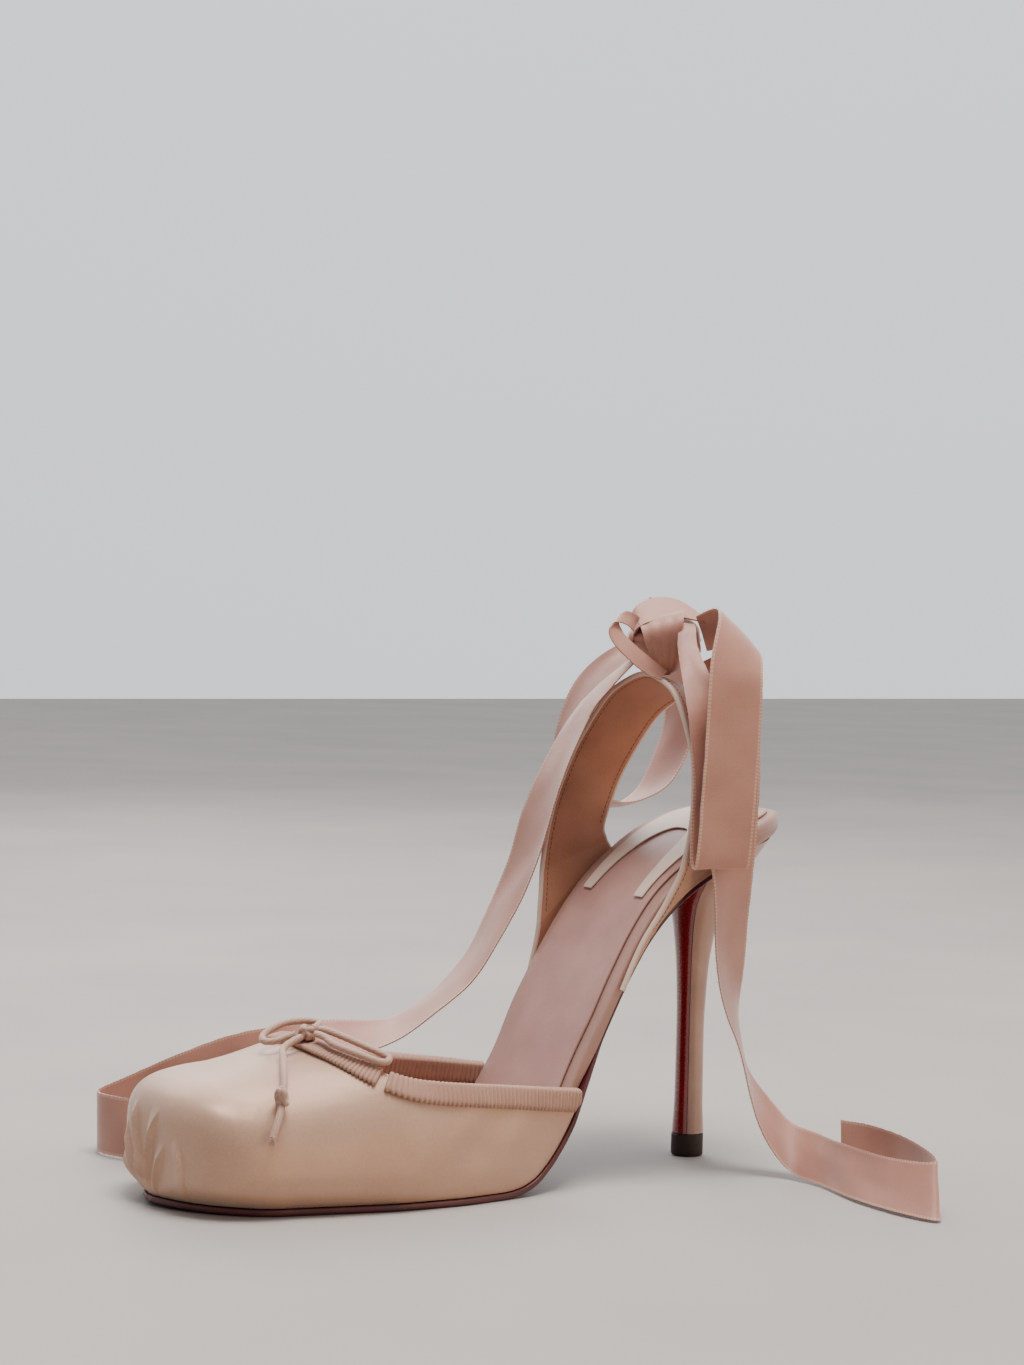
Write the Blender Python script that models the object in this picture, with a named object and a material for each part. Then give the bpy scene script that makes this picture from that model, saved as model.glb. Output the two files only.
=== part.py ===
"""Strappy high heel pump, left shoe. Metres, toe to -X, outer side to -Y, floor at Z = 0.

Every section is worked out from the named sizes below and from short tables. In a table the
lengths are shares of the named size that its heading gives.
"""
import math

import bpy
import numpy as np

# Named sizes
LENGTH = 0.2140
BALL = 0.33411
TOE_X = -BALL * LENGTH
SEAT_RISE = 0.0998
HALF = 0.0384
GAP = 0.0003
OUTSOLE_T = 0.0018
WALL = 0.0016
TAPE_T = 0.0008
TAPE_LEG = 0.0058
TAPE_GAP = 0.0005
STRAP_T = 0.0016
RIBBON_W = 0.0180
RIBBON_T = 0.0008
CORD_R = 0.00105
CORD_SPAN = 0.0024
SOCK_T = 0.0006
PAD_T = 0.0004
TOPLIFT_H = 0.0067
TOPLIFT_R = 0.0050
FOOT_LAP = 0.0008
SOCK_IN = 0.0046
PAD_IN = 0.0085



def at(along):
    """Station at a share of LENGTH from the toe."""
    return TOE_X + along * LENGTH


# Corners of the outline: where the rounding starts, how far it runs, how square it is.
# The toe is more pointed at its foot and goes under a little there.
TOE_ROUND = {"start": at(0.14720), "run": 0.13320 * LENGTH, "square": 2.6,
             "foot_square": 1.6, "under": 0.0117 * LENGTH}
SEAT_ROUND = {"start": at(0.87617), "run": 0.12897 * LENGTH, "square": 2.1}
THROAT = {"front": at(0.24720), "start": at(0.35280), "square": 3.2}
QUARTER_END = at(0.60047)
HEEL_X = at(0.88224)

# Underside of the sole: along = share of LENGTH, where the toe itself is at 0.014,
# rise = share of SEAT_RISE
PROFILE = [
    {"along": 0.000, "rise": 0.014},
    {"along": 0.054, "rise": 0.005},
    {"along": 0.124, "rise": 0.001},
    {"along": 0.194, "rise": 0.000},
    {"along": 0.300, "rise": 0.000},
    {"along": 0.465, "rise": 0.000},
    {"along": 0.493, "rise": 0.006},
    {"along": 0.521, "rise": 0.026},
    {"along": 0.549, "rise": 0.069},
    {"along": 0.586, "rise": 0.156},
    {"along": 0.624, "rise": 0.296},
    {"along": 0.661, "rise": 0.448},
    {"along": 0.699, "rise": 0.592},
    {"along": 0.736, "rise": 0.709},
    {"along": 0.773, "rise": 0.796},
    {"along": 0.811, "rise": 0.858},
    {"along": 0.848, "rise": 0.904},
    {"along": 0.895, "rise": 0.947},
    {"along": 0.942, "rise": 0.978},
    {"along": 1.000, "rise": 1.000},
]

# Widest outline of the shoe: half = share of HALF, shift = sideways shift, share of HALF
OUTLINE = [
    {"along": 0.000, "half": 0.825, "shift": 0.070},
    {"along": 0.147, "half": 0.890, "shift": 0.045},
    {"along": 0.241, "half": 0.965, "shift": 0.020},
    {"along": 0.311, "half": 1.000, "shift": 0.000},
    {"along": 0.381, "half": 0.986, "shift": -0.012},
    {"along": 0.451, "half": 0.924, "shift": -0.022},
    {"along": 0.521, "half": 0.838, "shift": -0.032},
    {"along": 0.591, "half": 0.728, "shift": -0.036},
    {"along": 0.661, "half": 0.655, "shift": -0.030},
    {"along": 0.731, "half": 0.637, "shift": -0.018},
    {"along": 0.801, "half": 0.660, "shift": -0.008},
    {"along": 0.871, "half": 0.680, "shift": 0.000},
    {"along": 1.000, "half": 0.665, "shift": 0.000},
]

# Last above the sole, heights as shares of SEAT_RISE: ridge over the middle, topline at the side
LAST = [
    {"along": 0.000, "ridge": 0.325, "side": 0.330},
    {"along": 0.040, "ridge": 0.350, "side": 0.345},
    {"along": 0.100, "ridge": 0.371, "side": 0.360},
    {"along": 0.171, "ridge": 0.401, "side": 0.372},
    {"along": 0.231, "ridge": 0.432, "side": 0.374},
    {"along": 0.278, "ridge": 0.455, "side": 0.368},
    {"along": 0.374, "ridge": 0.495, "side": 0.344},
    {"along": 0.468, "ridge": 0.520, "side": 0.321},
    {"along": 0.549, "ridge": 0.565, "side": 0.298},
    {"along": 0.603, "ridge": 0.605, "side": 0.281},
]

# Inward set of the upper's foot and of the insole's edge, shares of HALF
EDGES = [
    {"along": 0.000, "tuck": 0.150, "board": 0.230},
    {"along": 0.150, "tuck": 0.140, "board": 0.215},
    {"along": 0.330, "tuck": 0.085, "board": 0.145},
    {"along": 0.420, "tuck": 0.045, "board": 0.112},
    {"along": 0.500, "tuck": 0.024, "board": 0.098},
    {"along": 0.560, "tuck": 0.016, "board": 0.094},
    {"along": 0.600, "tuck": 0.016, "board": 0.090},
    {"along": 0.650, "tuck": 0.016, "board": 0.020},
    {"along": 1.000, "tuck": 0.016, "board": 0.016},
]

# Insole thickness, share of SEAT_RISE
BOARD = [
    {"along": 0.000, "thick": 0.025},
    {"along": 0.560, "thick": 0.028},
    {"along": 0.700, "thick": 0.036},
    {"along": 0.800, "thick": 0.056},
    {"along": 0.900, "thick": 0.070},
    {"along": 1.000, "thick": 0.072},
]

# Heel sections: rise and tilt from level to the seat's slope, the rest shares of HALF
HEEL = [
    {"rise": 0.070, "tilt": 0.00, "centre": 0.000, "front": 0.123, "back": 0.128, "side": 0.126},
    {"rise": 0.180, "tilt": 0.00, "centre": 0.000, "front": 0.112, "back": 0.115, "side": 0.112},
    {"rise": 0.380, "tilt": 0.00, "centre": -0.003, "front": 0.108, "back": 0.113, "side": 0.108},
    {"rise": 0.550, "tilt": 0.05, "centre": -0.003, "front": 0.118, "back": 0.135, "side": 0.122},
    {"rise": 0.680, "tilt": 0.12, "centre": 0.003, "front": 0.150, "back": 0.185, "side": 0.160},
    {"rise": 0.770, "tilt": 0.30, "centre": 0.020, "front": 0.190, "back": 0.250, "side": 0.225},
    {"rise": 0.840, "tilt": 0.60, "centre": 0.060, "front": 0.245, "back": 0.320, "side": 0.330},
    {"rise": 0.900, "tilt": 0.88, "centre": 0.130, "front": 0.325, "back": 0.360, "side": 0.450},
    {"rise": 0.945, "tilt": 1.00, "centre": 0.170, "front": 0.365, "back": 0.385, "side": 0.535},
]
BREAST_ANGLE = 0.91

# Ankle strap from the near root over the arch to the far root. fx, rx = front and rear edge
# along X, share of LENGTH from the origin; fz, rz = their height, share of SEAT_RISE;
# fo, ro = sideways share of HALF.
STRAP = [
    {"fx": 0.3409, "fz": 0.572, "rx": 0.5419, "rz": 0.958, "fo": -0.700, "ro": -0.715},
    {"fx": 0.3696, "fz": 0.690, "rx": 0.5491, "rz": 1.005, "fo": -0.700, "ro": -0.715},
    {"fx": 0.4127, "fz": 0.830, "rx": 0.5419, "rz": 1.040, "fo": -0.705, "ro": -0.720},
    {"fx": 0.4378, "fz": 0.950, "rx": 0.5311, "rz": 1.090, "fo": -0.715, "ro": -0.730},
    {"fx": 0.4486, "fz": 1.090, "rx": 0.5347, "rz": 1.160, "fo": -0.725, "ro": -0.735},
    {"fx": 0.4522, "fz": 1.230, "rx": 0.5401, "rz": 1.245, "fo": -0.700, "ro": -0.710},
    {"fx": 0.4540, "fz": 1.360, "rx": 0.5401, "rz": 1.335, "fo": -0.560, "ro": -0.580},
    {"fx": 0.4576, "fz": 1.470, "rx": 0.5419, "rz": 1.418, "fo": -0.300, "ro": -0.310},
    {"fx": 0.4558, "fz": 1.508, "rx": 0.5383, "rz": 1.446, "fo": 0.020, "ro": 0.020},
    {"fx": 0.4432, "fz": 1.462, "rx": 0.5258, "rz": 1.392, "fo": 0.330, "ro": 0.330},
    {"fx": 0.4235, "fz": 1.350, "rx": 0.5060, "rz": 1.270, "fo": 0.540, "ro": 0.550},
    {"fx": 0.4019, "fz": 1.210, "rx": 0.4863, "rz": 1.130, "fo": 0.670, "ro": 0.690},
    {"fx": 0.3804, "fz": 1.070, "rx": 0.4701, "rz": 1.010, "fo": 0.700, "ro": 0.715},
    {"fx": 0.3661, "fz": 0.930, "rx": 0.4737, "rz": 0.975, "fo": 0.690, "ro": 0.705},
    {"fx": 0.3589, "fz": 0.800, "rx": 0.4800, "rz": 0.945, "fo": 0.680, "ro": 0.700},
    {"fx": 0.3517, "fz": 0.680, "rx": 0.4860, "rz": 0.920, "fo": 0.680, "ro": 0.700},
    {"fx": 0.3409, "fz": 0.575, "rx": 0.4900, "rz": 0.898, "fo": 0.680, "ro": 0.700},
]

# Ribbon routes from the knot's centre: x and y in widths of the ribbon, z in widths too for
# the loops and the fold, and for the tails as a share of the knot's height over the floor.
# turn and lean give the direction across the ribbon: turn about Z in degrees, lean above level.
KNOT = (0.48598 * LENGTH, 0.0, 1.5169 * SEAT_RISE + 0.5335 * RIBBON_W)
KNOT_BODY = (KNOT[0] - 0.0333 * RIBBON_W, 0.0, KNOT[2] - 0.0444 * RIBBON_W)
KNOT_SIZE = (0.7000 * RIBBON_W, 0.5778 * RIBBON_W, 0.5333 * RIBBON_W)
LOOP_NEAR = [
    {"x": 0.428, "y": -0.452, "z": 0.128, "turn": 40, "lean": -38},
    {"x": 0.50, "y": -1.10, "z": 0.26, "turn": 22, "lean": -40},
    {"x": 0.26, "y": -1.74, "z": 0.14, "turn": 2, "lean": -34},
    {"x": -0.02, "y": -2.10, "z": -0.44, "turn": -6, "lean": -8},
    {"x": -0.12, "y": -2.20, "z": -1.40, "turn": -8, "lean": 0},
    {"x": -0.20, "y": -2.22, "z": -2.50, "turn": -8, "lean": 0},
    {"x": -0.25, "y": -2.20, "z": -3.50, "turn": -8, "lean": 0},
    {"x": -0.26, "y": -2.12, "z": -3.74, "turn": -8, "lean": 0},
    {"x": -0.26, "y": -2.02, "z": -3.50, "turn": -8, "lean": 0},
    {"x": -0.20, "y": -1.96, "z": -2.30, "turn": -8, "lean": 0},
    {"x": -0.08, "y": -1.84, "z": -1.20, "turn": -4, "lean": 6},
    {"x": 0.04, "y": -1.38, "z": -0.40, "turn": 10, "lean": 25},
    {"x": 0.12, "y": -0.76, "z": -0.08, "turn": 20, "lean": 40},
]
LOOP_FAR = [
    {"x": 0.74, "y": 0.77, "z": 0.21, "turn": 60, "lean": 30},
    {"x": 1.10, "y": 1.30, "z": 0.06, "turn": 85, "lean": 30},
    {"x": 1.72, "y": 2.00, "z": -0.60, "turn": 90, "lean": 12},
    {"x": 1.90, "y": 2.20, "z": -1.60, "turn": 90, "lean": 0},
    {"x": 1.40, "y": 2.26, "z": -2.70, "turn": 88, "lean": -6},
    {"x": 0.50, "y": 2.26, "z": -3.02, "turn": 86, "lean": -10},
    {"x": -0.30, "y": 2.24, "z": -2.60, "turn": 84, "lean": -6},
    {"x": -0.58, "y": 2.10, "z": -1.80, "turn": 84, "lean": 0},
    {"x": -0.40, "y": 1.72, "z": -0.85, "turn": 80, "lean": 14},
    {"x": -0.20, "y": 0.98, "z": 0.06, "turn": 70, "lean": 40},
]
TAIL_FRONT = [
    {"x": -0.71, "y": 0.53, "z": -0.0056, "turn": 85, "lean": 20},
    {"x": -0.80, "y": 0.80, "z": -0.0827, "turn": 84, "lean": 8},
    {"x": -0.92, "y": 1.11, "z": -0.1453, "turn": 84, "lean": 0},
    {"x": -1.18, "y": 1.44, "z": -0.2348, "turn": 85, "lean": 0},
    {"x": -1.41, "y": 1.72, "z": -0.3399, "turn": 86, "lean": 0},
    {"x": -1.57, "y": 1.94, "z": -0.4439, "turn": 86, "lean": 0},
    {"x": -1.80, "y": 2.11, "z": -0.5232, "turn": 85, "lean": 0},
    {"x": -2.11, "y": 2.28, "z": -0.6082, "turn": 82, "lean": 0},
    {"x": -2.48, "y": 2.44, "z": -0.6730, "turn": 78, "lean": 4},
    {"x": -2.98, "y": 2.61, "z": -0.7267, "turn": 72, "lean": 8},
    {"x": -3.50, "y": 2.78, "z": -0.7670, "turn": 68, "lean": 12},
    {"x": -4.10, "y": 2.92, "z": -0.7848, "turn": 66, "lean": 24},
    {"x": -4.80, "y": 3.06, "z": -0.7960, "turn": 72, "lean": 44},
    {"x": -5.50, "y": 3.34, "z": -0.8161, "turn": 80, "lean": 64},
    {"x": -6.30, "y": 3.84, "z": -0.8430, "turn": 90, "lean": 80},
    {"x": -7.10, "y": 4.30, "z": -0.8832, "turn": 95, "lean": 86},
    {"x": -7.80, "y": 4.62, "z": -0.9212, "turn": 100, "lean": 88},
    {"x": -8.30, "y": 4.62, "z": -0.9391, "turn": 100, "lean": 89},
    {"x": -8.46, "y": 4.20, "z": -0.9402, "turn": 100, "lean": 86},
    {"x": -8.30, "y": 3.60, "z": -0.9402, "turn": 100, "lean": 80},
    {"x": -8.00, "y": 3.10, "z": -0.9414, "turn": 100, "lean": 80},
]
TAIL_REAR = [
    {"x": 0.44, "y": -0.62, "z": -0.0330, "turn": 0, "lean": 20},
    {"x": 0.36, "y": -1.40, "z": -0.1230, "turn": -4, "lean": 10},
    {"x": 0.20, "y": -1.78, "z": -0.2236, "turn": -8, "lean": 0},
    {"x": 0.16, "y": -1.82, "z": -0.3354, "turn": -6, "lean": 0},
    {"x": 0.22, "y": -1.82, "z": -0.4450, "turn": 14, "lean": 0},
    {"x": 0.33, "y": -1.68, "z": -0.5523, "turn": 22, "lean": 0},
    {"x": 0.42, "y": -1.56, "z": -0.6283, "turn": 30, "lean": 0},
    {"x": 0.52, "y": -1.52, "z": -0.6909, "turn": 42, "lean": 4},
    {"x": 0.64, "y": -1.58, "z": -0.7524, "turn": 54, "lean": 12},
    {"x": 0.77, "y": -1.70, "z": -0.8307, "turn": 60, "lean": 28},
    {"x": 0.98, "y": -1.95, "z": -0.8966, "turn": 58, "lean": 44},
    {"x": 1.20, "y": -2.36, "z": -0.9458, "turn": 58, "lean": 48},
    {"x": 1.27, "y": -3.01, "z": -0.9548, "turn": 58, "lean": 46},
    {"x": 1.07, "y": -4.06, "z": -0.9548, "turn": 58, "lean": 46},
    {"x": 1.02, "y": -5.13, "z": -0.9548, "turn": 58, "lean": 46},
    {"x": 1.13, "y": -5.93, "z": -0.9525, "turn": 58, "lean": 50},
    {"x": 1.30, "y": -6.04, "z": -0.9503, "turn": 58, "lean": 56},
    {"x": 1.56, "y": -5.50, "z": -0.9470, "turn": 58, "lean": 62},
    {"x": 1.80, "y": -4.60, "z": -0.9436, "turn": 58, "lean": 68},
    {"x": 1.90, "y": -3.66, "z": -0.9425, "turn": 58, "lean": 72},
    {"x": 1.68, "y": -3.10, "z": -0.9414, "turn": 58, "lean": 75},
]
# Drawstring: routes in shares of CORD_SPAN from the middle of its bow
BOW = (-0.10047 * LENGTH, -0.11719 * HALF, 0.47094 * SEAT_RISE)
BOW_SIZE = (1.125 * CORD_SPAN, 1.250 * CORD_SPAN, 0.917 * CORD_SPAN)
STOP = (BOW[0] - 8.375 * CORD_SPAN, BOW[1] - 9.958 * CORD_SPAN, BOW[2] - 5.500 * CORD_SPAN)
STOP_SIZE = (0.833 * CORD_SPAN, 1.000 * CORD_SPAN, 1.167 * CORD_SPAN)
BOW_LEFT = [
    {"x": -1.30, "y": 0.10, "z": -0.15},
    {"x": -2.30, "y": 0.60, "z": -0.50},
    {"x": -3.50, "y": 1.10, "z": -0.95},
    {"x": -4.50, "y": 2.10, "z": -1.05},
    {"x": -3.90, "y": 3.50, "z": -0.60},
    {"x": -2.40, "y": 4.00, "z": 0.10},
    {"x": -0.40, "y": 4.20, "z": 0.65},
    {"x": 1.90, "y": 4.00, "z": 0.75},
    {"x": 3.30, "y": 3.10, "z": 0.60},
    {"x": 2.50, "y": 1.80, "z": 0.40},
    {"x": 1.30, "y": 0.90, "z": 0.30},
]
BOW_RIGHT = [
    {"x": 0.50, "y": -1.62, "z": 0.05},
    {"x": 0.70, "y": -3.40, "z": -0.10},
    {"x": 0.90, "y": -5.40, "z": -0.70},
    {"x": 2.30, "y": -8.20, "z": -1.40},
    {"x": 4.70, "y": -10.30, "z": -2.30},
    {"x": 5.90, "y": -9.60, "z": -1.90},
    {"x": 4.20, "y": -7.40, "z": -0.90},
    {"x": 2.60, "y": -4.60, "z": 0.00},
    {"x": 1.90, "y": -2.20, "z": 0.40},
    {"x": 1.55, "y": -0.60, "z": 0.40},
]
END = [
    {"x": -1.15, "y": -1.00, "z": -0.30},
    {"x": -2.50, "y": -1.10, "z": -0.80},
    {"x": -3.90, "y": -1.60, "z": -1.50},
    {"x": -4.90, "y": -3.60, "z": -2.30},
    {"x": -6.00, "y": -5.90, "z": -3.30},
    {"x": -7.05, "y": -8.00, "z": -4.55},
]
TIP = [
    {"x": -8.66, "y": -10.40, "z": -6.88},
    {"x": -9.60, "y": -11.30, "z": -8.50},
    {"x": -10.30, "y": -11.70, "z": -9.90},
]
FOLD = [
    {"x": -0.64, "y": -0.60, "z": 0.34, "turn": 60, "lean": 10},
    {"x": -0.95, "y": -0.62, "z": 0.46, "turn": 58, "lean": 4},
    {"x": -1.18, "y": -0.66, "z": 0.24, "turn": 58, "lean": 0},
    {"x": -0.98, "y": -0.70, "z": -0.18, "turn": 54, "lean": -8},
    {"x": -0.52, "y": -0.74, "z": -0.46, "turn": 48, "lean": -14},
]


def cubic(rows, key, column):
    """Smooth function through a table's column that never overshoots its rows."""
    xs = np.array([row[key] for row in rows], float)
    ys = np.array([row[column] for row in rows], float)
    step = np.diff(xs)
    slope = np.diff(ys) / step
    grade = np.zeros(len(xs))
    for i in range(1, len(xs) - 1):
        if slope[i - 1] * slope[i] > 0.0:
            w1 = 2.0 * step[i] + step[i - 1]
            w2 = step[i] + 2.0 * step[i - 1]
            grade[i] = (w1 + w2) / (w1 / slope[i - 1] + w2 / slope[i])
    grade[0] = slope[0]
    grade[-1] = slope[-1]

    def value(x):
        x = min(max(float(x), xs[0]), xs[-1])
        i = min(int(np.searchsorted(xs, x, side="right")) - 1, len(step) - 1)
        t = (x - xs[i]) / step[i]
        a = (1.0 + 2.0 * t) * (1.0 - t) ** 2 * ys[i] + t * (1.0 - t) ** 2 * step[i] * grade[i]
        b = t * t * (3.0 - 2.0 * t) * ys[i + 1] - t * t * (1.0 - t) * step[i] * grade[i + 1]
        return a + b

    return value


def along_curve(rows, column, size):
    share = cubic(rows, "along", column)
    return lambda x: size * share((x - TOE_X) / LENGTH)


bottom = along_curve(PROFILE, "rise", SEAT_RISE)
wide = along_curve(OUTLINE, "half", HALF)
shift = along_curve(OUTLINE, "shift", HALF)
ridge = along_curve(LAST, "ridge", SEAT_RISE)
side_height = along_curve(LAST, "side", SEAT_RISE)
tuck = along_curve(EDGES, "tuck", HALF)
board_inset = along_curve(EDGES, "board", HALF)
board_thick = along_curve(BOARD, "thick", SEAT_RISE)


def grade_at(x):
    return (bottom(x + 1e-4) - bottom(x - 1e-4)) / 2e-4


def layer(x, lift):
    """Point at a distance lift square to the underside, from its station x."""
    grade = grade_at(x)
    size = math.hypot(1.0, grade)
    return x - grade / size * lift, bottom(x) + lift / size


def layer_height(x, lift):
    """Height of that layer straight above x."""
    foot = x
    for _ in range(8):
        foot += x - layer(foot, lift)[0]
    return layer(foot, lift)[1]


def toe_run(inset):
    """Run of the toe's foot, for an outline that is set in by inset at the sides."""
    return TOE_ROUND["run"] - TOE_ROUND["under"] - (inset - tuck(TOE_X))


def half_width(x, inset):
    """Half width of the outline at the foot, set in by inset at the sides."""
    half = wide(x) - inset
    if x < TOE_ROUND["start"]:
        run, square = toe_run(inset), TOE_ROUND["foot_square"]
        half *= max(0.0, 1.0 - ((TOE_ROUND["start"] - x) / run) ** square) ** (1.0 / square)
    start, run, square = SEAT_ROUND["start"], SEAT_ROUND["run"] - inset, SEAT_ROUND["square"]
    if x > start:
        half *= max(0.0, 1.0 - ((x - start) / run) ** square) ** (1.0 / square)
    return half


def add_mesh(name, points, faces, smooth=40.0):
    mesh = bpy.data.meshes.new(name)
    mesh.from_pydata([tuple(float(c) for c in p) for p in points], [], faces)
    mesh.validate()
    mesh.update()
    volume = 0.0
    mesh.calc_loop_triangles()
    for tri in mesh.loop_triangles:
        a, b, c = (mesh.vertices[i].co for i in tri.vertices)
        volume += a.dot(b.cross(c))
    if volume < 0.0:
        mesh.flip_normals()
    obj = bpy.data.objects.new(name, mesh)
    bpy.context.scene.collection.objects.link(obj)
    mesh.shade_smooth()
    mesh.set_sharp_from_angle(angle=math.radians(smooth))
    return obj


def finish(obj, colour, rough, metallic=0.0):
    material = bpy.data.materials.new(obj.name + "_mat")
    material.use_nodes = True
    shader = material.node_tree.nodes["Principled BSDF"]
    shader.inputs["Base Color"].default_value = (*colour, 1.0)
    shader.inputs["Roughness"].default_value = rough
    shader.inputs["Metallic"].default_value = metallic
    material.diffuse_color = (*colour, 1.0)
    obj.data.materials.append(material)


def loft(name, rings, smooth=40.0):
    """Closed solid through rings of equal count, with flat caps."""
    count = len(rings[0])
    points = [p for ring in rings for p in ring]
    faces = []
    for j in range(len(rings) - 1):
        for i in range(count):
            k = (i + 1) % count
            faces.append((j * count + i, j * count + k, (j + 1) * count + k, (j + 1) * count + i))
    faces.append(tuple(reversed(range(count))))
    last = (len(rings) - 1) * count
    faces.append(tuple(last + i for i in range(count)))
    return add_mesh(name, points, faces, smooth)


def shell(name, outer, inner, smooth=40.0):
    """Closed wall between two grids of the same shape."""
    rows, cols = len(outer), len(outer[0])
    points = [p for row in outer for p in row] + [p for row in inner for p in row]
    base = rows * cols
    faces = []
    for j in range(rows - 1):
        for i in range(cols - 1):
            a = j * cols + i
            faces.append((a, a + 1, a + cols + 1, a + cols))
            faces.append((base + a, base + a + cols, base + a + cols + 1, base + a + 1))
    rim = [i for i in range(cols)]
    rim += [j * cols + cols - 1 for j in range(1, rows)]
    rim += [(rows - 1) * cols + i for i in range(cols - 2, -1, -1)]
    rim += [j * cols for j in range(rows - 2, 0, -1)]
    for k in range(len(rim)):
        a, b = rim[k], rim[(k + 1) % len(rim)]
        faces.append((b, a, base + a, base + b))
    return add_mesh(name, points, faces, smooth)


def stations(start, stop, count, ease_start, ease_stop):
    """Stations that crowd at a rounded end."""
    out = []
    for i in range(count + 1):
        t = i / count
        if ease_start and ease_stop:
            t = 0.5 - 0.5 * math.cos(math.pi * t)
        elif ease_start:
            t = 1.0 - math.cos(0.5 * math.pi * t)
        elif ease_stop:
            t = math.sin(0.5 * math.pi * t)
        out.append(start + (stop - start) * t)
    return out


def slab(name, xs, low, high, inset, low_round, high_round, fine=False):
    """Layer of the sole between two lifts, with rounded lower and upper edges."""
    rings = []
    for x in xs:
        lo, hi = low(x), high(x)
        rl = min(low_round(x), 0.45 * (hi - lo))
        rh = min(high_round(x), 0.45 * (hi - lo))
        if fine:
            lifts = [(lo, rl), (lo + 0.3 * rl, 0.3 * rl), (lo + rl, 0.0)]
            lifts += [(hi - rh, 0.0), (hi - 0.3 * rh, 0.3 * rh), (hi, rh)]
        else:
            lifts = [(lo, rl), (hi, rh)]
        near, far = [], []
        for lift, back in lifts:
            px, pz = layer(x, lift)
            half = max(half_width(px, inset(px) + back), 0.0008)
            near.append((px, shift(px) - half, pz))
            far.append((px, shift(px) + half, pz))
        rings.append(near + far[::-1])
    return loft(name, rings)


def toe_stop(inset):
    """Front of an outline that is set in, just short of its vertex."""
    return TOE_ROUND["start"] - toe_run(inset) * 0.9985


def seat_stop(inset):
    return SEAT_ROUND["start"] + (SEAT_ROUND["run"] - inset) * 0.9985


BOARD_LOW = OUTSOLE_T + GAP


def board_top(x):
    return BOARD_LOW + board_thick(x)


def make_sole():
    inset = tuck(TOE_X) - FOOT_LAP
    xs = stations(toe_stop(inset), 0.0, 16, True, False)
    xs += stations(0.0, at(0.8407), 30, False, False)[1:]

    def sole_edge(x):
        behind = max(0.0, min(1.0, (x - at(0.5958)) / (0.0561 * LENGTH)))
        return tuck(x) - FOOT_LAP + (STRAP_T + 0.0010) * behind

    obj = slab("outsole", xs, lambda x: 0.0, lambda x: OUTSOLE_T, sole_edge,
               lambda x: 0.0006, lambda x: 0.0003)
    finish(obj, (0.10, 0.012, 0.016), 0.35)

    middle, seat = at(0.3107), at(0.8855)
    xs = stations(toe_stop(board_inset(TOE_X)), middle, 10, True, False)
    xs += stations(middle, seat, 24, False, False)[1:]
    xs += stations(seat, seat_stop(board_inset(at(1.0)) + 0.0030), 10, False, True)[1:]

    def behind(x, along):
        return max(0.0, min(1.0, (x - at(along)) / (0.14 * LENGTH)))

    obj = slab("insole", xs, lambda x: BOARD_LOW, board_top, board_inset,
               lambda x: 0.0004 + 0.0030 * behind(x, 0.7313),
               lambda x: 0.0008 + 0.0010 * behind(x, 0.6612), True)
    finish(obj, (0.62, 0.44, 0.42), 0.45)

    xs = stations(toe_stop(board_inset(TOE_X) + SOCK_IN), middle, 12, True, False)
    xs += stations(middle, seat, 26, False, False)[1:]
    xs += stations(seat, seat_stop(SOCK_IN + 0.0016), 10, False, True)[1:]

    def sock_edge(x):
        return board_inset(x) + SOCK_IN - 0.0010 * behind(x, 0.7547)

    obj = slab("sock", xs, lambda x: board_top(x) + GAP, lambda x: board_top(x) + GAP + SOCK_T,
               sock_edge, lambda x: 0.0001, lambda x: 0.0002)
    finish(obj, (0.60, 0.43, 0.42), 0.5)

    top = GAP + SOCK_T + GAP
    xs = stations(at(0.7640), seat, 6, False, False)
    xs += stations(seat, seat_stop(PAD_IN + 0.0035), 8, False, True)[1:]
    obj = slab("heel_pad", xs, lambda x: board_top(x) + top, lambda x: board_top(x) + top + PAD_T,
               lambda x: PAD_IN, lambda x: 0.0001, lambda x: 0.0002)
    finish(obj, (0.78, 0.62, 0.54), 0.5)


def squareness(foot):
    """Exponent of the arch: boxy at the toe's front, rounder at the sides."""
    return 2.6 + 2.8 * math.sin(foot) ** 2


def unit(angle, power):
    """Point of a unit superellipse in the given direction."""
    c, s = abs(math.cos(angle)), abs(math.sin(angle))
    size = (c ** power + s ** power) ** (1.0 / power)
    return math.copysign(c, math.cos(angle)) / size, s / size


def foot_height(x):
    return layer_height(x, OUTSOLE_T + GAP)


def belly_height(x):
    """Height of the last's widest line."""
    base = foot_height(x)
    return base + 0.33 * (side_height(x) - base)


def spoke(station, near, rise, inset):
    """Point of the upper. station: (x, foot angle), rise < 0 under the belly, then an angle."""
    x0, foot = station
    side = -1.0 if near else 1.0

    def rim(inward, front, level):
        if foot <= 0.0:
            return x0, wide(x0) - inward
        square = TOE_ROUND["square"]
        u, v = unit(foot, square + (TOE_ROUND["foot_square"] - square) * level)
        x = TOE_ROUND["start"] - (TOE_ROUND["run"] - front) * v
        return x, (wide(x) - inward) * u

    if rise < 0.0:
        level = (-rise) ** 2.8
        inward = tuck(rim(0.0, 0.0, 0.0)[0]) * level + inset
        x, half = rim(inward, TOE_ROUND["under"] * level + inset, level)
        z = foot_height(x) + (1.0 + rise) * (belly_height(x) - foot_height(x))
        return np.array((x, shift(x) + side * half, z))
    x_rim, half = rim(inset, inset, 0.0)
    x_end = x0 if foot <= 0.0 else crown(foot)
    u, v = unit(rise, squareness(foot))
    x = x_rim + (x_end - x_rim) * (1.0 - u)
    low = belly_height(x_rim)
    z = low + (ridge(x) - inset - low) * v
    return np.array((x, shift(x) + side * half * u, z))


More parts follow.
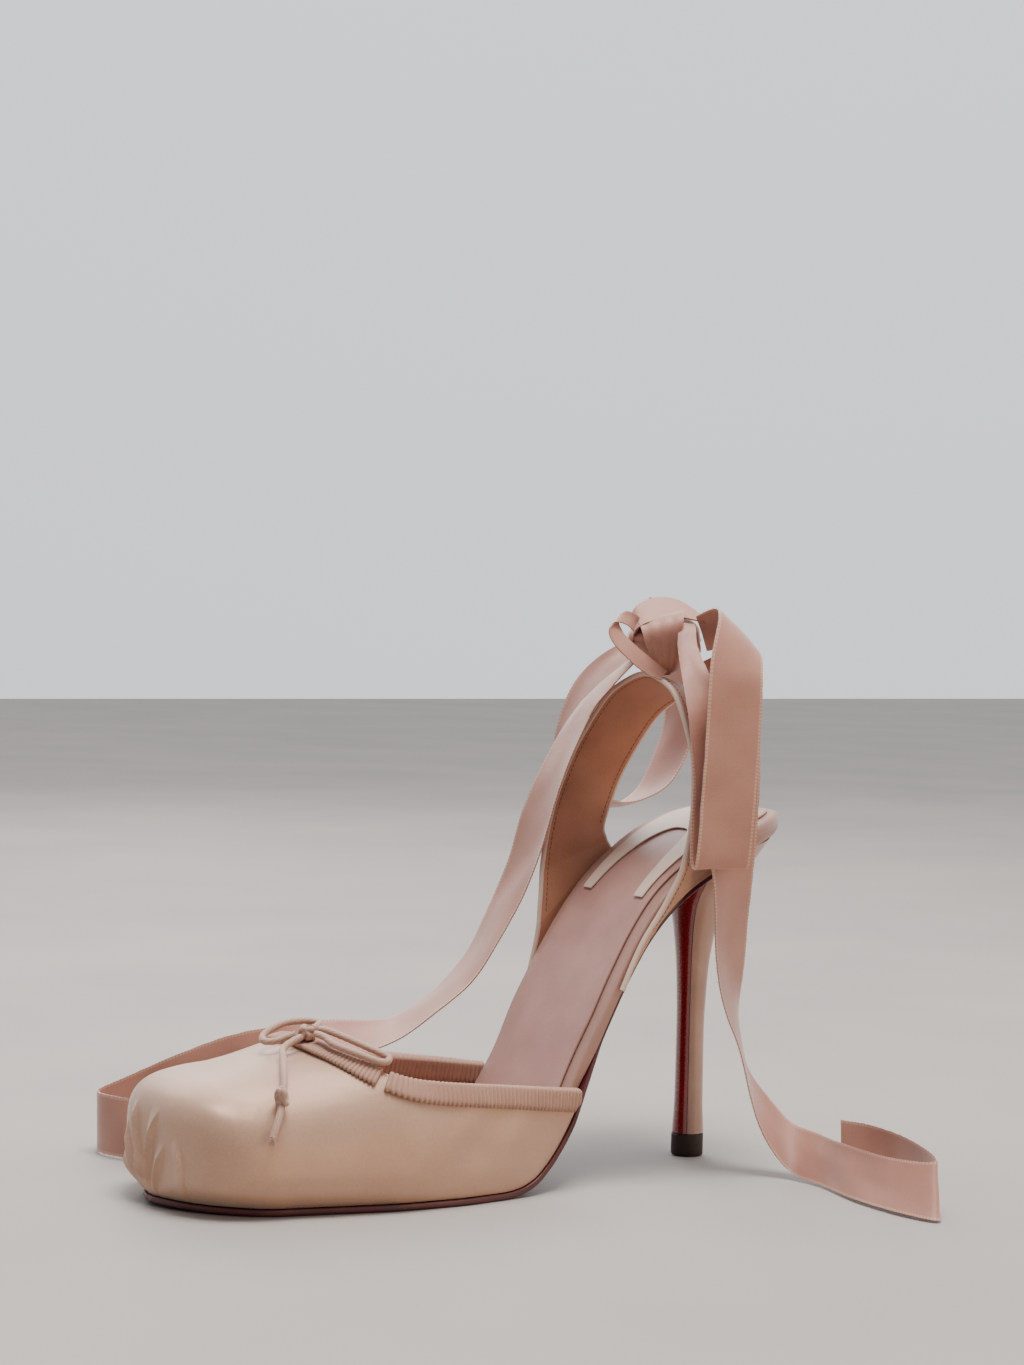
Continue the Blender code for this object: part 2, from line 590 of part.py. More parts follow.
def crown(foot):
    """Where a spoke from the toe's outline meets the ridge."""
    return TOE_ROUND["start"] - 0.19 * TOE_ROUND["run"] * math.sin(foot) ** 2


def side_arch(x, rise, inset):
    """The arch square to the length, rise 0 at the near belly to pi at the far one."""
    near = rise <= 0.5 * math.pi
    angle = rise if near else math.pi - rise
    return spoke((x, 0.0), near, max(angle, 0.0), inset)


def side_share(x):
    """Topline's place on the arch at the side, as the share of the half width."""
    power = squareness(0.0)
    low = belly_height(x)
    v = min(max((side_height(x) - low) / (ridge(x) - low), 0.0), 0.999)
    return (1.0 - v ** power) ** (1.0 / power)


def topline(turn):
    """Topline station and arch angle. turn 0 at the near end, 0.5 at the throat, 1 at the far."""
    power = squareness(0.0)
    half = 0.5 - abs(turn - 0.5)
    split = 0.27
    if half < split:
        x = QUARTER_END + (THROAT["start"] - QUARTER_END) * half / split
        share = side_share(x)
    else:
        angle = 0.5 * math.pi * (half - split) / (0.5 - split)
        u, v = unit(angle, THROAT["square"])
        x = THROAT["start"] - (THROAT["start"] - THROAT["front"]) * v
        share = side_share(x) * max(u, 0.0)
    v = (1.0 - share ** power) ** (1.0 / power)
    rise = math.atan2(v, share)
    return x, rise if turn <= 0.5 else math.pi - rise


def make_upper():
    columns = []
    for i in range(12):
        x = QUARTER_END + (THROAT["start"] - QUARTER_END) * i / 12.0
        columns.append(((x, 0.0), topline(0.27 * i / 12.0)[1]))
    for i in range(10):
        turn = 0.27 + 0.23 * i / 10.0
        x, rise = topline(turn)
        columns.append(((x, 0.0), rise))
    for i in range(1, 6):
        x = THROAT["front"] + (TOE_ROUND["start"] - THROAT["front"]) * i / 6.0
        columns.append(((x, 0.0), 0.5 * math.pi))
    for i in range(11):
        columns.append(((TOE_ROUND["start"], 0.05 * math.pi * i), 0.5 * math.pi))
    levels = [-1.0, -0.65, -0.3]
    rows = 8

    points, index, faces = [], {}, []

    def vertex(layer_id, column, near, row):
        station, stop = columns[column]
        top = row == len(levels) + rows
        shared = column == len(columns) - 1
        if top and column > 21:
            shared = True
        key = (layer_id, column, True if shared else near, row)
        if key not in index:
            inset = 0.0 if layer_id == 0 else WALL
            rise = levels[row] if row < len(levels) else stop * (row - len(levels)) / rows
            index[key] = len(points)
            points.append(spoke(station, near, rise, inset))
        return index[key]

    total = len(levels) + rows
    for near in (True, False):
        for column in range(len(columns) - 1):
            for row in range(total):
                for layer_id in (0, 1):
                    corners = [(column, row), (column + 1, row), (column + 1, row + 1),
                               (column, row + 1)]
                    quad = [vertex(layer_id, c, near, r) for c, r in corners]
                    if near == (layer_id == 0):
                        quad.reverse()
                    faces.append(tuple(dict.fromkeys(quad)))
    for near in (True, False):
        for column in range(len(columns) - 1):
            quads = [((column, 0), (column + 1, 0))]
            if column < 22:
                quads.append(((column + 1, total), (column, total)))
            for a, b in quads:
                quad = [vertex(0, a[0], near, a[1]), vertex(0, b[0], near, b[1]),
                        vertex(1, b[0], near, b[1]), vertex(1, a[0], near, a[1])]
                if not near:
                    quad.reverse()
                faces.append(tuple(dict.fromkeys(quad)))
        for row in range(total):
            quad = [vertex(0, 0, near, row + 1), vertex(0, 0, near, row),
                    vertex(1, 0, near, row), vertex(1, 0, near, row + 1)]
            if not near:
                quad.reverse()
            faces.append(tuple(quad))
    obj = add_mesh("upper", points, [f for f in faces if len(f) > 2], 35.0)
    finish(obj, (0.78, 0.60, 0.50), 0.35)


def surface(x, rise):
    """Middle of the wall, its outward normal and its two directions."""
    middle = 0.5 * WALL
    here = side_arch(x, rise, middle)
    du = (side_arch(x + 1e-4, rise, middle) - side_arch(x - 1e-4, rise, middle)) / 2e-4
    up = min(max(rise, 0.002), math.pi - 0.002)
    dv = (side_arch(x, up + 1e-3, middle) - side_arch(x, up - 1e-3, middle)) / 2e-3
    normal = np.cross(du, dv)
    normal /= np.linalg.norm(normal)
    out = here - np.array((x, shift(x), belly_height(x)))
    if normal.dot(out) < 0.0:
        normal = -normal
    return here, normal, du, dv


def make_tape(name, start, stop, count):
    """Folded tape over the topline, from one turn of it to another."""
    rings = []
    for i in range(count + 1):
        turn = start + (stop - start) * i / count
        x, rise = topline(turn)
        before = side_arch(*topline(max(turn - 0.004, 0.0)), 0.5 * WALL)
        after = side_arch(*topline(min(turn + 0.004, 1.0)), 0.5 * WALL)
        tangent = (after - before) / np.linalg.norm(after - before)
        here, normal, du, dv = surface(x, rise)
        down = np.cross(normal, tangent)
        if down.dot(np.array((-0.3, 0.0, -1.0))) < 0.0:
            down = -down
        free = here[2] - foot_height(x) - 0.0006
        leg = min(TAPE_LEG, free) if abs(turn - 0.5) > 0.2 else TAPE_LEG
        stops = [(here, normal)]
        u, v = x, rise
        for _ in range(4):
            axes = np.stack((du, dv), axis=1)
            move = np.linalg.lstsq(axes, down * leg / 4.0, rcond=None)[0]
            u += move[0]
            v += move[1]
            point, normal_low, du, dv = surface(u, v)
            down = down - normal_low * down.dot(normal_low)
            down /= np.linalg.norm(down)
            stops.append((point, normal_low))
        crest = np.cross(normal, tangent)
        if crest.dot(np.array((-0.3, 0.0, -1.0))) < 0.0:
            crest = -crest
        close = 0.5 * WALL + TAPE_GAP
        wide_set = close + TAPE_T
        picks = [stops[4], stops[2], stops[0]]
        ring = [p + n * close for p, n in picks]
        ring += [p - n * close for p, n in picks[::-1]]
        for k in (2, 3):
            ring[k] = ring[k] - crest * GAP
        outer = [p - n * wide_set for p, n in picks]
        outer += [here - crest * (GAP + TAPE_T) - normal * (0.55 * wide_set)]
        outer += [here - crest * (GAP + TAPE_T) + normal * (0.55 * wide_set)]
        outer += [p + n * wide_set for p, n in picks[::-1]]
        rings.append(ring + outer)
    obj = loft(name, rings)
    finish(obj, (0.62, 0.42, 0.38), 0.7)


def make_heel():
    rise = cubic([dict(r, k=i) for i, r in enumerate(HEEL)], "k", "rise")
    columns = {}
    for column in ("tilt", "centre", "front", "back", "side"):
        columns[column] = cubic([dict(r, k=i) for i, r in enumerate(HEEL)], "k", column)
    last = len(HEEL) - 1
    seat_x = HEEL_X + HALF * columns["centre"](last)
    seat_z = layer_height(seat_x, OUTSOLE_T)

    def ring(k, angles, cut):
        x0 = HEEL_X + HALF * columns["centre"](k)
        share = max(0.0, (rise(k) - HEEL[0]["rise"]) / (HEEL[last]["rise"] - HEEL[0]["rise"]))
        level = TOPLIFT_H + GAP
        level += share * (seat_z - level)
        out = []
        for angle in angles:
            reach = columns["back"](k) if math.cos(angle) > 0.0 else columns["front"](k)
            power = 2.0 + 0.3 * share ** 3
            u, v = unit(angle, power)
            x = x0 + HALF * reach * u + cut
            y = math.copysign(HALF * columns["side"](k) * v, math.sin(angle))
            slope = layer_height(x, OUTSOLE_T) - seat_z
            out.append((x, y, level + columns["tilt"](k) * slope))
        return out

    steps = [0.5 * i for i in range(2 * last + 1)]
    front = [math.pi - BREAST_ANGLE + 2.0 * BREAST_ANGLE * i / 8 for i in range(9)]
    back = [BREAST_ANGLE - math.pi + 2.0 * (math.pi - BREAST_ANGLE) * i / 16 for i in range(17)]
    obj = loft("heel_breast", [ring(k, front, -0.5 * GAP) for k in steps])
    finish(obj, (0.30, 0.010, 0.030), 0.12)
    obj = loft("heel", [ring(k, back, 0.5 * GAP) for k in steps])
    finish(obj, (0.74, 0.58, 0.50), 0.4)

    rings = []
    for z, grow in ((0.0, -0.0003), (0.0004, 0.0), (TOPLIFT_H, 0.0)):
        radius = TOPLIFT_R + grow
        rings.append([(HEEL_X + radius * math.cos(a), radius * math.sin(a), z)
                      for a in [math.pi * i / 16 for i in range(32)]])
    obj = loft("toplift", rings)
    finish(obj, (0.05, 0.025, 0.02), 0.6)


def normals_of(grid):
    rows, cols = len(grid), len(grid[0])
    out = []
    for j in range(rows):
        line = []
        for i in range(cols):
            a = grid[min(j + 1, rows - 1)][i] - grid[max(j - 1, 0)][i]
            b = grid[j][min(i + 1, cols - 1)] - grid[j][max(i - 1, 0)]
            n = np.cross(a, b)
            line.append(n / np.linalg.norm(n))
        out.append(line)
    return out


def sheet_solid(name, grid, thick):
    normal = normals_of(grid)
    outer = [[p + n * 0.5 * thick for p, n in zip(r, s)] for r, s in zip(grid, normal)]
    inner = [[p - n * 0.5 * thick for p, n in zip(r, s)] for r, s in zip(grid, normal)]
    return shell(name, outer, inner, 50.0)


def make_strap():
    rows = [dict(r, k=i) for i, r in enumerate(STRAP)]
    value = {c: cubic(rows, "k", c) for c in ("fx", "fz", "rx", "rz", "fo", "ro")}
    last = len(rows) - 1
    grid = []
    for j in range(2 * last + 1):
        k = j / 2.0
        line = []
        for i in range(5):
            t = i / 4.0
            x = LENGTH * (value["fx"](k) * (1.0 - t) + value["rx"](k) * t)
            z = SEAT_RISE * (value["fz"](k) * (1.0 - t) + value["rz"](k) * t)
            ends = [LENGTH * value["fx"](k), LENGTH * value["rx"](k)]
            bow = bottom(x) - bottom(ends[0]) * (1.0 - t) - bottom(ends[1]) * t
            z += bow * max(0.0, 1.0 - min(k, last - k) / 3.0)
            out = HALF * (value["fo"](k) * (1.0 - t) + value["ro"](k) * t)
            root = max(0.0, 1.0 - min(k, last - k) / 2.6)
            side = -1.0 if k < 0.5 * last else 1.0
            edge = half_width(x, board_inset(x)) + GAP + 0.5 * STRAP_T + 0.0002
            hug = shift(x) + side * edge
            blend = min(1.0, 2.0 * root)
            y = out * (1.0 - blend) + hug * blend
            line.append(np.array((x, y, z)))
        grid.append(line)
    obj = sheet_solid("ankle_strap", grid, STRAP_T)
    finish(obj, (0.76, 0.56, 0.48), 0.4)


def make_ribbon(name, rows, count, rise=RIBBON_W):
    """Flat ribbon along a route, with the direction across it at each row."""
    rows = [dict(r, k=i) for i, r in enumerate(rows)]
    size = np.array((RIBBON_W, RIBBON_W, rise))
    points = np.array([[r["x"], r["y"], r["z"]] for r in rows]) * size + np.array(KNOT)
    across = []
    for r in rows:
        turn, lean = math.radians(r["turn"]), math.radians(r["lean"])
        across.append((math.cos(turn) * math.cos(lean), math.sin(turn) * math.cos(lean),
                       math.sin(lean)))
    across = np.array(across)
    grid = []
    for j in range(count + 1):
        t = j * (len(rows) - 1) / count
        i = min(int(t), len(rows) - 2)
        f = t - i
        ends = [max(i - 1, 0), i, i + 1, min(i + 2, len(rows) - 1)]
        w = np.array((-f + 2 * f * f - f ** 3, 2 - 5 * f * f + 3 * f ** 3,
                      f + 4 * f * f - 3 * f ** 3, -f * f + f ** 3)) * 0.5
        centre = w @ points[ends]
        side = w @ across[ends]
        side /= np.linalg.norm(side)
        grid.append([centre + side * RIBBON_W * (s / 2.0) for s in (-1.0, 0.0, 1.0)])
    obj = sheet_solid(name, grid, RIBBON_T)
    finish(obj, (0.66, 0.45, 0.42), 0.5)


def make_lump(name, centre, size, rows, cols, colour):
    """Rounded lump of a pulled knot."""
    rings = []
    for j in range(1, rows):
        lat = math.pi * j / rows
        ring = []
        for i in range(cols):
            lon = 2.0 * math.pi * i / cols
            swell = 1.0 + 0.05 * math.sin(3.0 * lon + 2.5 * lat)
            d = np.array((math.cos(lat), math.sin(lat) * math.cos(lon),
                          math.sin(lat) * math.sin(lon)))
            ring.append(np.array(centre) + d * np.array(size) * swell)
        rings.append(ring)
    obj = loft(name, rings)
    finish(obj, colour, 0.5)


def make_cord(name, rows, count):
    """Round cord through its route."""
    points = np.array([[r["x"], r["y"], r["z"]] for r in rows]) * CORD_SPAN + np.array(BOW)
    curve = bpy.data.curves.new(name, "CURVE")
    curve.dimensions = "3D"
    curve.bevel_depth = CORD_R
    curve.bevel_resolution = 2
    curve.use_fill_caps = True
    spline = curve.splines.new("POLY")
    spline.points.add(count)
    for j in range(count + 1):
        t = j * (len(points) - 1) / count
        i = min(int(t), len(points) - 2)
        f = t - i
        ends = [max(i - 1, 0), i, i + 1, min(i + 2, len(points) - 1)]
        w = np.array((-f + 2 * f * f - f ** 3, 2 - 5 * f * f + 3 * f ** 3,
                      f + 4 * f * f - 3 * f ** 3, -f * f + f ** 3)) * 0.5
        spline.points[j].co = (*(w @ points[ends]), 1.0)
    obj = bpy.data.objects.new(name, curve)
    bpy.context.scene.collection.objects.link(obj)
    finish(obj, (0.55, 0.38, 0.33), 0.6)


def main():
    for obj in list(bpy.data.objects):
        bpy.data.objects.remove(obj, do_unlink=True)
    make_sole()
    make_upper()
    make_tape("binding_near", 0.0, 0.345, 16)
    make_tape("binding_throat", 0.355, 0.645, 26)
    make_tape("binding_far", 0.655, 1.0, 16)
    make_heel()
    make_strap()
    make_lump("ribbon_knot", KNOT_BODY, KNOT_SIZE, 12, 20, (0.68, 0.47, 0.43))
    make_lump("bow_knot", BOW, BOW_SIZE, 6, 10, (0.55, 0.38, 0.33))
    make_lump("drawstring_stop", STOP, STOP_SIZE, 6, 10, (0.55, 0.38, 0.33))
    make_cord("drawstring_bow_left", BOW_LEFT, 20)
    make_cord("drawstring_bow_right", BOW_RIGHT, 20)
    make_cord("drawstring_end", END, 12)
    make_cord("drawstring_tip", TIP, 4)
    make_ribbon("ribbon_loop_near", LOOP_NEAR, 36)
    make_ribbon("ribbon_loop_far", LOOP_FAR, 30)
    make_ribbon("ribbon_tail_front", TAIL_FRONT, 44, KNOT[2])
    make_ribbon("ribbon_tail_rear", TAIL_REAR, 50, KNOT[2])
    make_ribbon("ribbon_fold", FOLD, 16)


main()
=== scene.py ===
"""Visual model of the strappy high heel pump. Metres, toe to -X, outer side to -Y, floor at Z = 0.

The sizes, tables and surfaces are the CAD part's own, with creases, weave, ribs and folds added.
At the knot the ribbons' rows are gathered.
"""
import math

import bmesh
import bpy
import numpy as np
from mathutils import Matrix, Vector, noise


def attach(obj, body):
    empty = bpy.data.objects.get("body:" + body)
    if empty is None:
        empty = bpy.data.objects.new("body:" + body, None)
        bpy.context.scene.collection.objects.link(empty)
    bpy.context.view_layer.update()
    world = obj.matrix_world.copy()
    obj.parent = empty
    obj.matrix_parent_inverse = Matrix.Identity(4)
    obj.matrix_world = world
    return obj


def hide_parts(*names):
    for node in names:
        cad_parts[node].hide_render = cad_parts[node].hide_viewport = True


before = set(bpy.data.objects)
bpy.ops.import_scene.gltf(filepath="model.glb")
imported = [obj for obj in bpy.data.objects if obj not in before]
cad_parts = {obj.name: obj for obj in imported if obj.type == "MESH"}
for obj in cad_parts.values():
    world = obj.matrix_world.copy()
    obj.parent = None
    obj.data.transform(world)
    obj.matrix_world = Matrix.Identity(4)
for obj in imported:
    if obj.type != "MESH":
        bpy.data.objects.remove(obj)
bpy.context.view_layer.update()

# Named sizes
LENGTH = 0.2140
BALL = 0.33411
TOE_X = -BALL * LENGTH
SEAT_RISE = 0.0998
HALF = 0.0384
GAP = 0.0003
OUTSOLE_T = 0.0018
WALL = 0.0016
TAPE_T = 0.0008
TAPE_LEG = 0.0058
TAPE_GAP = 0.0005
STRAP_T = 0.0016
RIBBON_W = 0.0180
CORD_R = 0.00105
CORD_SPAN = 0.0024
SOCK_T = 0.0006
PAD_T = 0.0004
TOPLIFT_H = 0.0067
TOPLIFT_R = 0.0050
FOOT_LAP = 0.0008
SOCK_IN = 0.0046
PAD_IN = 0.0085


def at(along):
    """Station at a share of LENGTH from the toe."""
    return TOE_X + along * LENGTH


def table(columns, *rows):
    """Rows as dictionaries with the named columns."""
    return [dict(zip(columns.split(), row)) for row in rows]


# Corners of the outline: where the rounding starts, how far it runs, how square it is.
# The toe is more pointed at its foot and goes under a little there.
TOE_ROUND = {"start": at(0.14720), "run": 0.13320 * LENGTH, "square": 2.6,
             "foot_square": 1.6, "under": 0.0117 * LENGTH}
SEAT_ROUND = {"start": at(0.87617), "run": 0.12897 * LENGTH, "square": 2.1}
# Topline: its turn from 0 to 0.5 is the near half, and the throat's curve starts at the split
TOPLINE_SPLIT = 0.27
THROAT = {"front": at(0.24720), "start": at(0.35280), "square": 3.2}
QUARTER_END = at(0.60047)
HEEL_X = at(0.88224)
MIDDLE = at(0.3107)
SEAT = at(0.8855)
OUTSOLE_END = at(0.8407)
PAD_FRONT = at(0.7640)
# An outline stops at this share of its rounding's run, just short of its vertex
VERTEX_SHORT = 0.9985
# Last: widest line as a share of the height from foot to topline, how far the ridge goes back
# from the toe, exponents of its arch at the side and more at the toe, and of its turn under
BELLY = 0.33
CROWN_BACK = 0.19
ARCH_ROUND = 2.6
ARCH_BOXY = 2.8
TUCK_POWER = 2.8

# Underside of the sole: along = share of LENGTH, where the toe itself is at 0.014,
# rise = share of SEAT_RISE
PROFILE = table("along rise",
    (0.000, 0.014), (0.054, 0.005), (0.124, 0.001), (0.194, 0.000), (0.300, 0.000),
    (0.465, 0.000), (0.493, 0.006), (0.521, 0.026), (0.549, 0.069), (0.586, 0.156),
    (0.624, 0.296), (0.661, 0.448), (0.699, 0.592), (0.736, 0.709), (0.773, 0.796),
    (0.811, 0.858), (0.848, 0.904), (0.895, 0.947), (0.942, 0.978), (1.000, 1.000))

# Widest outline of the shoe: half = share of HALF, shift = sideways shift, share of HALF
OUTLINE = table("along half shift",
    (0.000, 0.825, 0.070), (0.147, 0.890, 0.045), (0.241, 0.965, 0.020), (0.311, 1.000, 0.000),
    (0.381, 0.986, -0.012), (0.451, 0.924, -0.022), (0.521, 0.838, -0.032),
    (0.591, 0.728, -0.036), (0.661, 0.655, -0.030), (0.731, 0.637, -0.018),
    (0.801, 0.660, -0.008), (0.871, 0.680, 0.000), (1.000, 0.665, 0.000))

# Last above the sole, heights as shares of SEAT_RISE: ridge over the middle, topline at the side
LAST = table("along ridge side",
    (0.000, 0.325, 0.330), (0.040, 0.350, 0.345), (0.100, 0.371, 0.360), (0.171, 0.401, 0.372),
    (0.231, 0.432, 0.374), (0.278, 0.455, 0.368), (0.374, 0.495, 0.344), (0.468, 0.520, 0.321),
    (0.549, 0.565, 0.298), (0.603, 0.605, 0.281))

# Inward set of the upper's foot and of the insole's edge, shares of HALF
EDGES = table("along tuck board",
    (0.000, 0.150, 0.230), (0.150, 0.140, 0.215), (0.330, 0.085, 0.145), (0.420, 0.045, 0.112),
    (0.500, 0.024, 0.098), (0.560, 0.016, 0.094), (0.600, 0.016, 0.090), (0.650, 0.016, 0.020),
    (1.000, 0.016, 0.016))

# Insole thickness, share of SEAT_RISE
BOARD = table("along thick",
    (0.000, 0.025), (0.560, 0.028), (0.700, 0.036), (0.800, 0.056), (0.900, 0.070),
    (1.000, 0.072))

# Heel sections: rise and tilt from level to the seat's slope, the rest shares of HALF
HEEL = table("rise tilt centre front back side",
    (0.070, 0.00, 0.000, 0.123, 0.128, 0.126),
    (0.180, 0.00, 0.000, 0.112, 0.115, 0.112),
    (0.380, 0.00, -0.003, 0.108, 0.113, 0.108),
    (0.550, 0.05, -0.003, 0.118, 0.135, 0.122),
    (0.680, 0.12, 0.003, 0.150, 0.185, 0.160),
    (0.770, 0.30, 0.020, 0.190, 0.250, 0.225),
    (0.840, 0.60, 0.060, 0.245, 0.320, 0.330),
    (0.900, 0.88, 0.130, 0.325, 0.360, 0.450),
    (0.945, 1.00, 0.170, 0.365, 0.385, 0.535))
BREAST_ANGLE = 0.91

# Ankle strap from the near root over the arch to the far root. fx, rx = front and rear edge
# along X, share of LENGTH from the origin; fz, rz = their height, share of SEAT_RISE;
# fo, ro = sideways share of HALF.
STRAP_TABLE = table("fx fz rx rz fo ro",
    (0.3409, 0.572, 0.5419, 0.958, -0.700, -0.715),
    (0.3696, 0.690, 0.5491, 1.005, -0.700, -0.715),
    (0.4127, 0.830, 0.5419, 1.040, -0.705, -0.720),
    (0.4378, 0.950, 0.5311, 1.090, -0.715, -0.730),
    (0.4486, 1.090, 0.5347, 1.160, -0.725, -0.735),
    (0.4522, 1.230, 0.5401, 1.245, -0.700, -0.710),
    (0.4540, 1.360, 0.5401, 1.335, -0.560, -0.580),
    (0.4576, 1.470, 0.5419, 1.418, -0.300, -0.310),
    (0.4558, 1.508, 0.5383, 1.446, 0.020, 0.020),
    (0.4432, 1.462, 0.5258, 1.392, 0.330, 0.330),
    (0.4235, 1.350, 0.5060, 1.270, 0.540, 0.550),
    (0.4019, 1.210, 0.4863, 1.130, 0.670, 0.690),
    (0.3804, 1.070, 0.4701, 1.010, 0.700, 0.715),
    (0.3661, 0.930, 0.4737, 0.975, 0.690, 0.705),
    (0.3589, 0.800, 0.4800, 0.945, 0.680, 0.700),
    (0.3517, 0.680, 0.4860, 0.920, 0.680, 0.700),
    (0.3409, 0.575, 0.4900, 0.898, 0.680, 0.700))

# Ribbon routes from the knot's centre: x and y in widths of the ribbon, z in widths too for
# the loops, and for the tails as a share of the knot's height over the floor.
# turn and lean give the direction across the ribbon: turn about Z in degrees, lean above level.
# wide = share of the ribbon's width, less than 1 where it is gathered.
KNOT = (0.48598 * LENGTH, 0.0, 1.5169 * SEAT_RISE + 0.5335 * RIBBON_W)
KNOT_BODY = (KNOT[0] - 0.0333 * RIBBON_W, 0.0, KNOT[2] - 0.0444 * RIBBON_W)
KNOT_SIZE = (0.7000 * RIBBON_W, 0.5778 * RIBBON_W, 0.5333 * RIBBON_W)
LOOP_NEAR = table("x y z turn lean wide",
    (0.428, -0.452, 0.128, 40, -38, 1.00),
    (0.50, -1.10, 0.26, 22, -40, 1.00),
    (0.26, -1.74, 0.14, 2, -34, 1.00),
    (-0.02, -2.10, -0.44, -6, -8, 1.00),
    (-0.12, -2.20, -1.40, -8, 0, 1.00),
    (-0.20, -2.22, -2.50, -8, 0, 1.00),
    (-0.25, -2.20, -3.50, -8, 0, 1.00),
    (-0.26, -2.12, -3.74, -8, 0, 1.00),
    (-0.26, -2.02, -3.50, -8, 0, 1.00),
    (-0.20, -1.96, -2.30, -8, 0, 1.00),
    (-0.30, -1.84, -1.30, -20, 0, 0.80),
    (-0.36, -1.44, -0.62, -30, 14, 0.46),
    (-0.20, -0.94, -0.12, -32, 12, 0.32),
    (-0.02, -0.62, 0.24, -32, 6, 0.28),
    (0.08, -0.20, 0.20, -32, 0, 0.24))
LOOP_FAR = table("x y z turn lean wide",
    (0.40, 0.40, 0.16, 60, 30, 0.30),
    (0.74, 0.80, 0.20, 66, 30, 0.60),
    (1.10, 1.30, 0.06, 85, 30, 1.00),
    (1.72, 2.00, -0.60, 90, 12, 1.00),
    (1.90, 2.20, -1.60, 90, 0, 1.00),
    (1.40, 2.26, -2.70, 88, -6, 1.00),
    (0.50, 2.26, -3.02, 86, -10, 1.00),
    (-0.30, 2.24, -2.60, 84, -6, 1.00),
    (-0.58, 2.10, -1.80, 84, 0, 1.00),
    (-0.40, 1.72, -0.85, 80, 14, 1.00),
    (-0.14, 1.02, -0.22, 74, 22, 0.60),
    (0.03, 0.50, 0.02, 70, 20, 0.30))
TAIL_FRONT = table("x y z turn lean wide",
    (-0.24, 0.16, -0.0110, 64, 6, 0.30),
    (-0.50, 0.50, -0.0560, 70, 4, 0.50),
    (-0.72, 0.82, -0.1000, 74, 2, 0.74),
    (-0.92, 1.11, -0.1453, 76, 0, 0.90),
    (-1.18, 1.44, -0.2348, 80, 0, 1.00),
    (-1.41, 1.72, -0.3399, 86, 0, 1.00),
    (-1.57, 1.94, -0.4439, 86, 0, 1.00),
    (-1.80, 2.11, -0.5232, 85, 0, 1.00),
    (-2.11, 2.28, -0.6082, 82, 0, 1.00),
    (-2.48, 2.44, -0.6730, 78, 4, 1.00),
    (-2.98, 2.61, -0.7267, 72, 8, 1.00),
    (-3.50, 2.78, -0.7670, 68, 12, 1.00),
    (-4.10, 2.92, -0.7848, 66, 24, 1.00),
    (-4.80, 3.06, -0.7960, 72, 44, 1.00),
    (-5.50, 3.34, -0.8161, 80, 64, 1.00),
    (-6.30, 3.84, -0.8430, 90, 80, 1.00),
    (-7.10, 4.30, -0.8832, 95, 86, 1.00),
    (-7.80, 4.62, -0.9212, 100, 88, 1.00),
    (-8.30, 4.62, -0.9391, 100, 89, 1.00),
    (-8.46, 4.20, -0.9402, 100, 86, 1.00),
    (-8.30, 3.60, -0.9402, 100, 80, 1.00),
    (-8.00, 3.10, -0.9414, 100, 80, 1.00))
TAIL_REAR = table("x y z turn lean",
    (0.44, -0.62, -0.0330, 0, 20), (0.36, -1.40, -0.1230, -4, 10), (0.20, -1.78, -0.2236, -8, 0),
    (0.16, -1.82, -0.3354, -6, 0), (0.22, -1.82, -0.4450, 14, 0), (0.33, -1.68, -0.5523, 22, 0),
    (0.42, -1.56, -0.6283, 30, 0), (0.52, -1.52, -0.6909, 42, 4), (0.64, -1.58, -0.7524, 54, 12),
    (0.77, -1.70, -0.8307, 60, 28), (0.98, -1.95, -0.8966, 58, 44),
    (1.20, -2.36, -0.9458, 58, 48), (1.27, -3.01, -0.9548, 58, 46),
    (1.07, -4.06, -0.9548, 58, 46), (1.02, -5.13, -0.9548, 58, 46),
    (1.13, -5.93, -0.9525, 58, 50), (1.30, -6.04, -0.9503, 58, 56),
    (1.56, -5.50, -0.9470, 58, 62), (1.80, -4.60, -0.9436, 58, 68),
    (1.90, -3.66, -0.9425, 58, 72), (1.68, -3.10, -0.9414, 58, 75))
# Drawstring: routes in shares of CORD_SPAN from the middle of its bow
BOW = (-0.10047 * LENGTH, -0.11719 * HALF, 0.47094 * SEAT_RISE)
BOW_SIZE = (1.125 * CORD_SPAN, 1.250 * CORD_SPAN, 0.917 * CORD_SPAN)
STOP = (BOW[0] - 8.375 * CORD_SPAN, BOW[1] - 9.958 * CORD_SPAN, BOW[2] - 5.500 * CORD_SPAN)
STOP_SIZE = (0.833 * CORD_SPAN, 1.000 * CORD_SPAN, 1.167 * CORD_SPAN)
BOW_LEFT = table("x y z",
    (-1.30, 0.10, -0.15), (-2.30, 0.60, -0.50), (-3.50, 1.10, -0.95), (-4.50, 2.10, -1.05),
    (-3.90, 3.50, -0.60), (-2.40, 4.00, 0.10), (-0.40, 4.20, 0.65), (1.90, 4.00, 0.75),
    (3.30, 3.10, 0.60), (2.50, 1.80, 0.40), (1.30, 0.90, 0.30))
BOW_RIGHT = table("x y z",
    (0.50, -1.62, 0.05), (0.70, -3.40, -0.10), (0.90, -5.40, -0.70), (2.30, -8.20, -1.40),
    (4.70, -10.30, -2.30), (5.90, -9.60, -1.90), (4.20, -7.40, -0.90), (2.60, -4.60, 0.00),
    (1.90, -2.20, 0.40), (1.55, -0.60, 0.40))
END = table("x y z",
    (-1.15, -1.00, -0.30), (-2.50, -1.10, -0.80), (-3.90, -1.60, -1.50), (-4.90, -3.60, -2.30),
    (-6.00, -5.90, -3.30), (-7.05, -8.00, -4.55))
TIP = table("x y z",
    (-8.66, -10.40, -6.88), (-9.60, -11.30, -8.50), (-10.30, -11.70, -9.90))


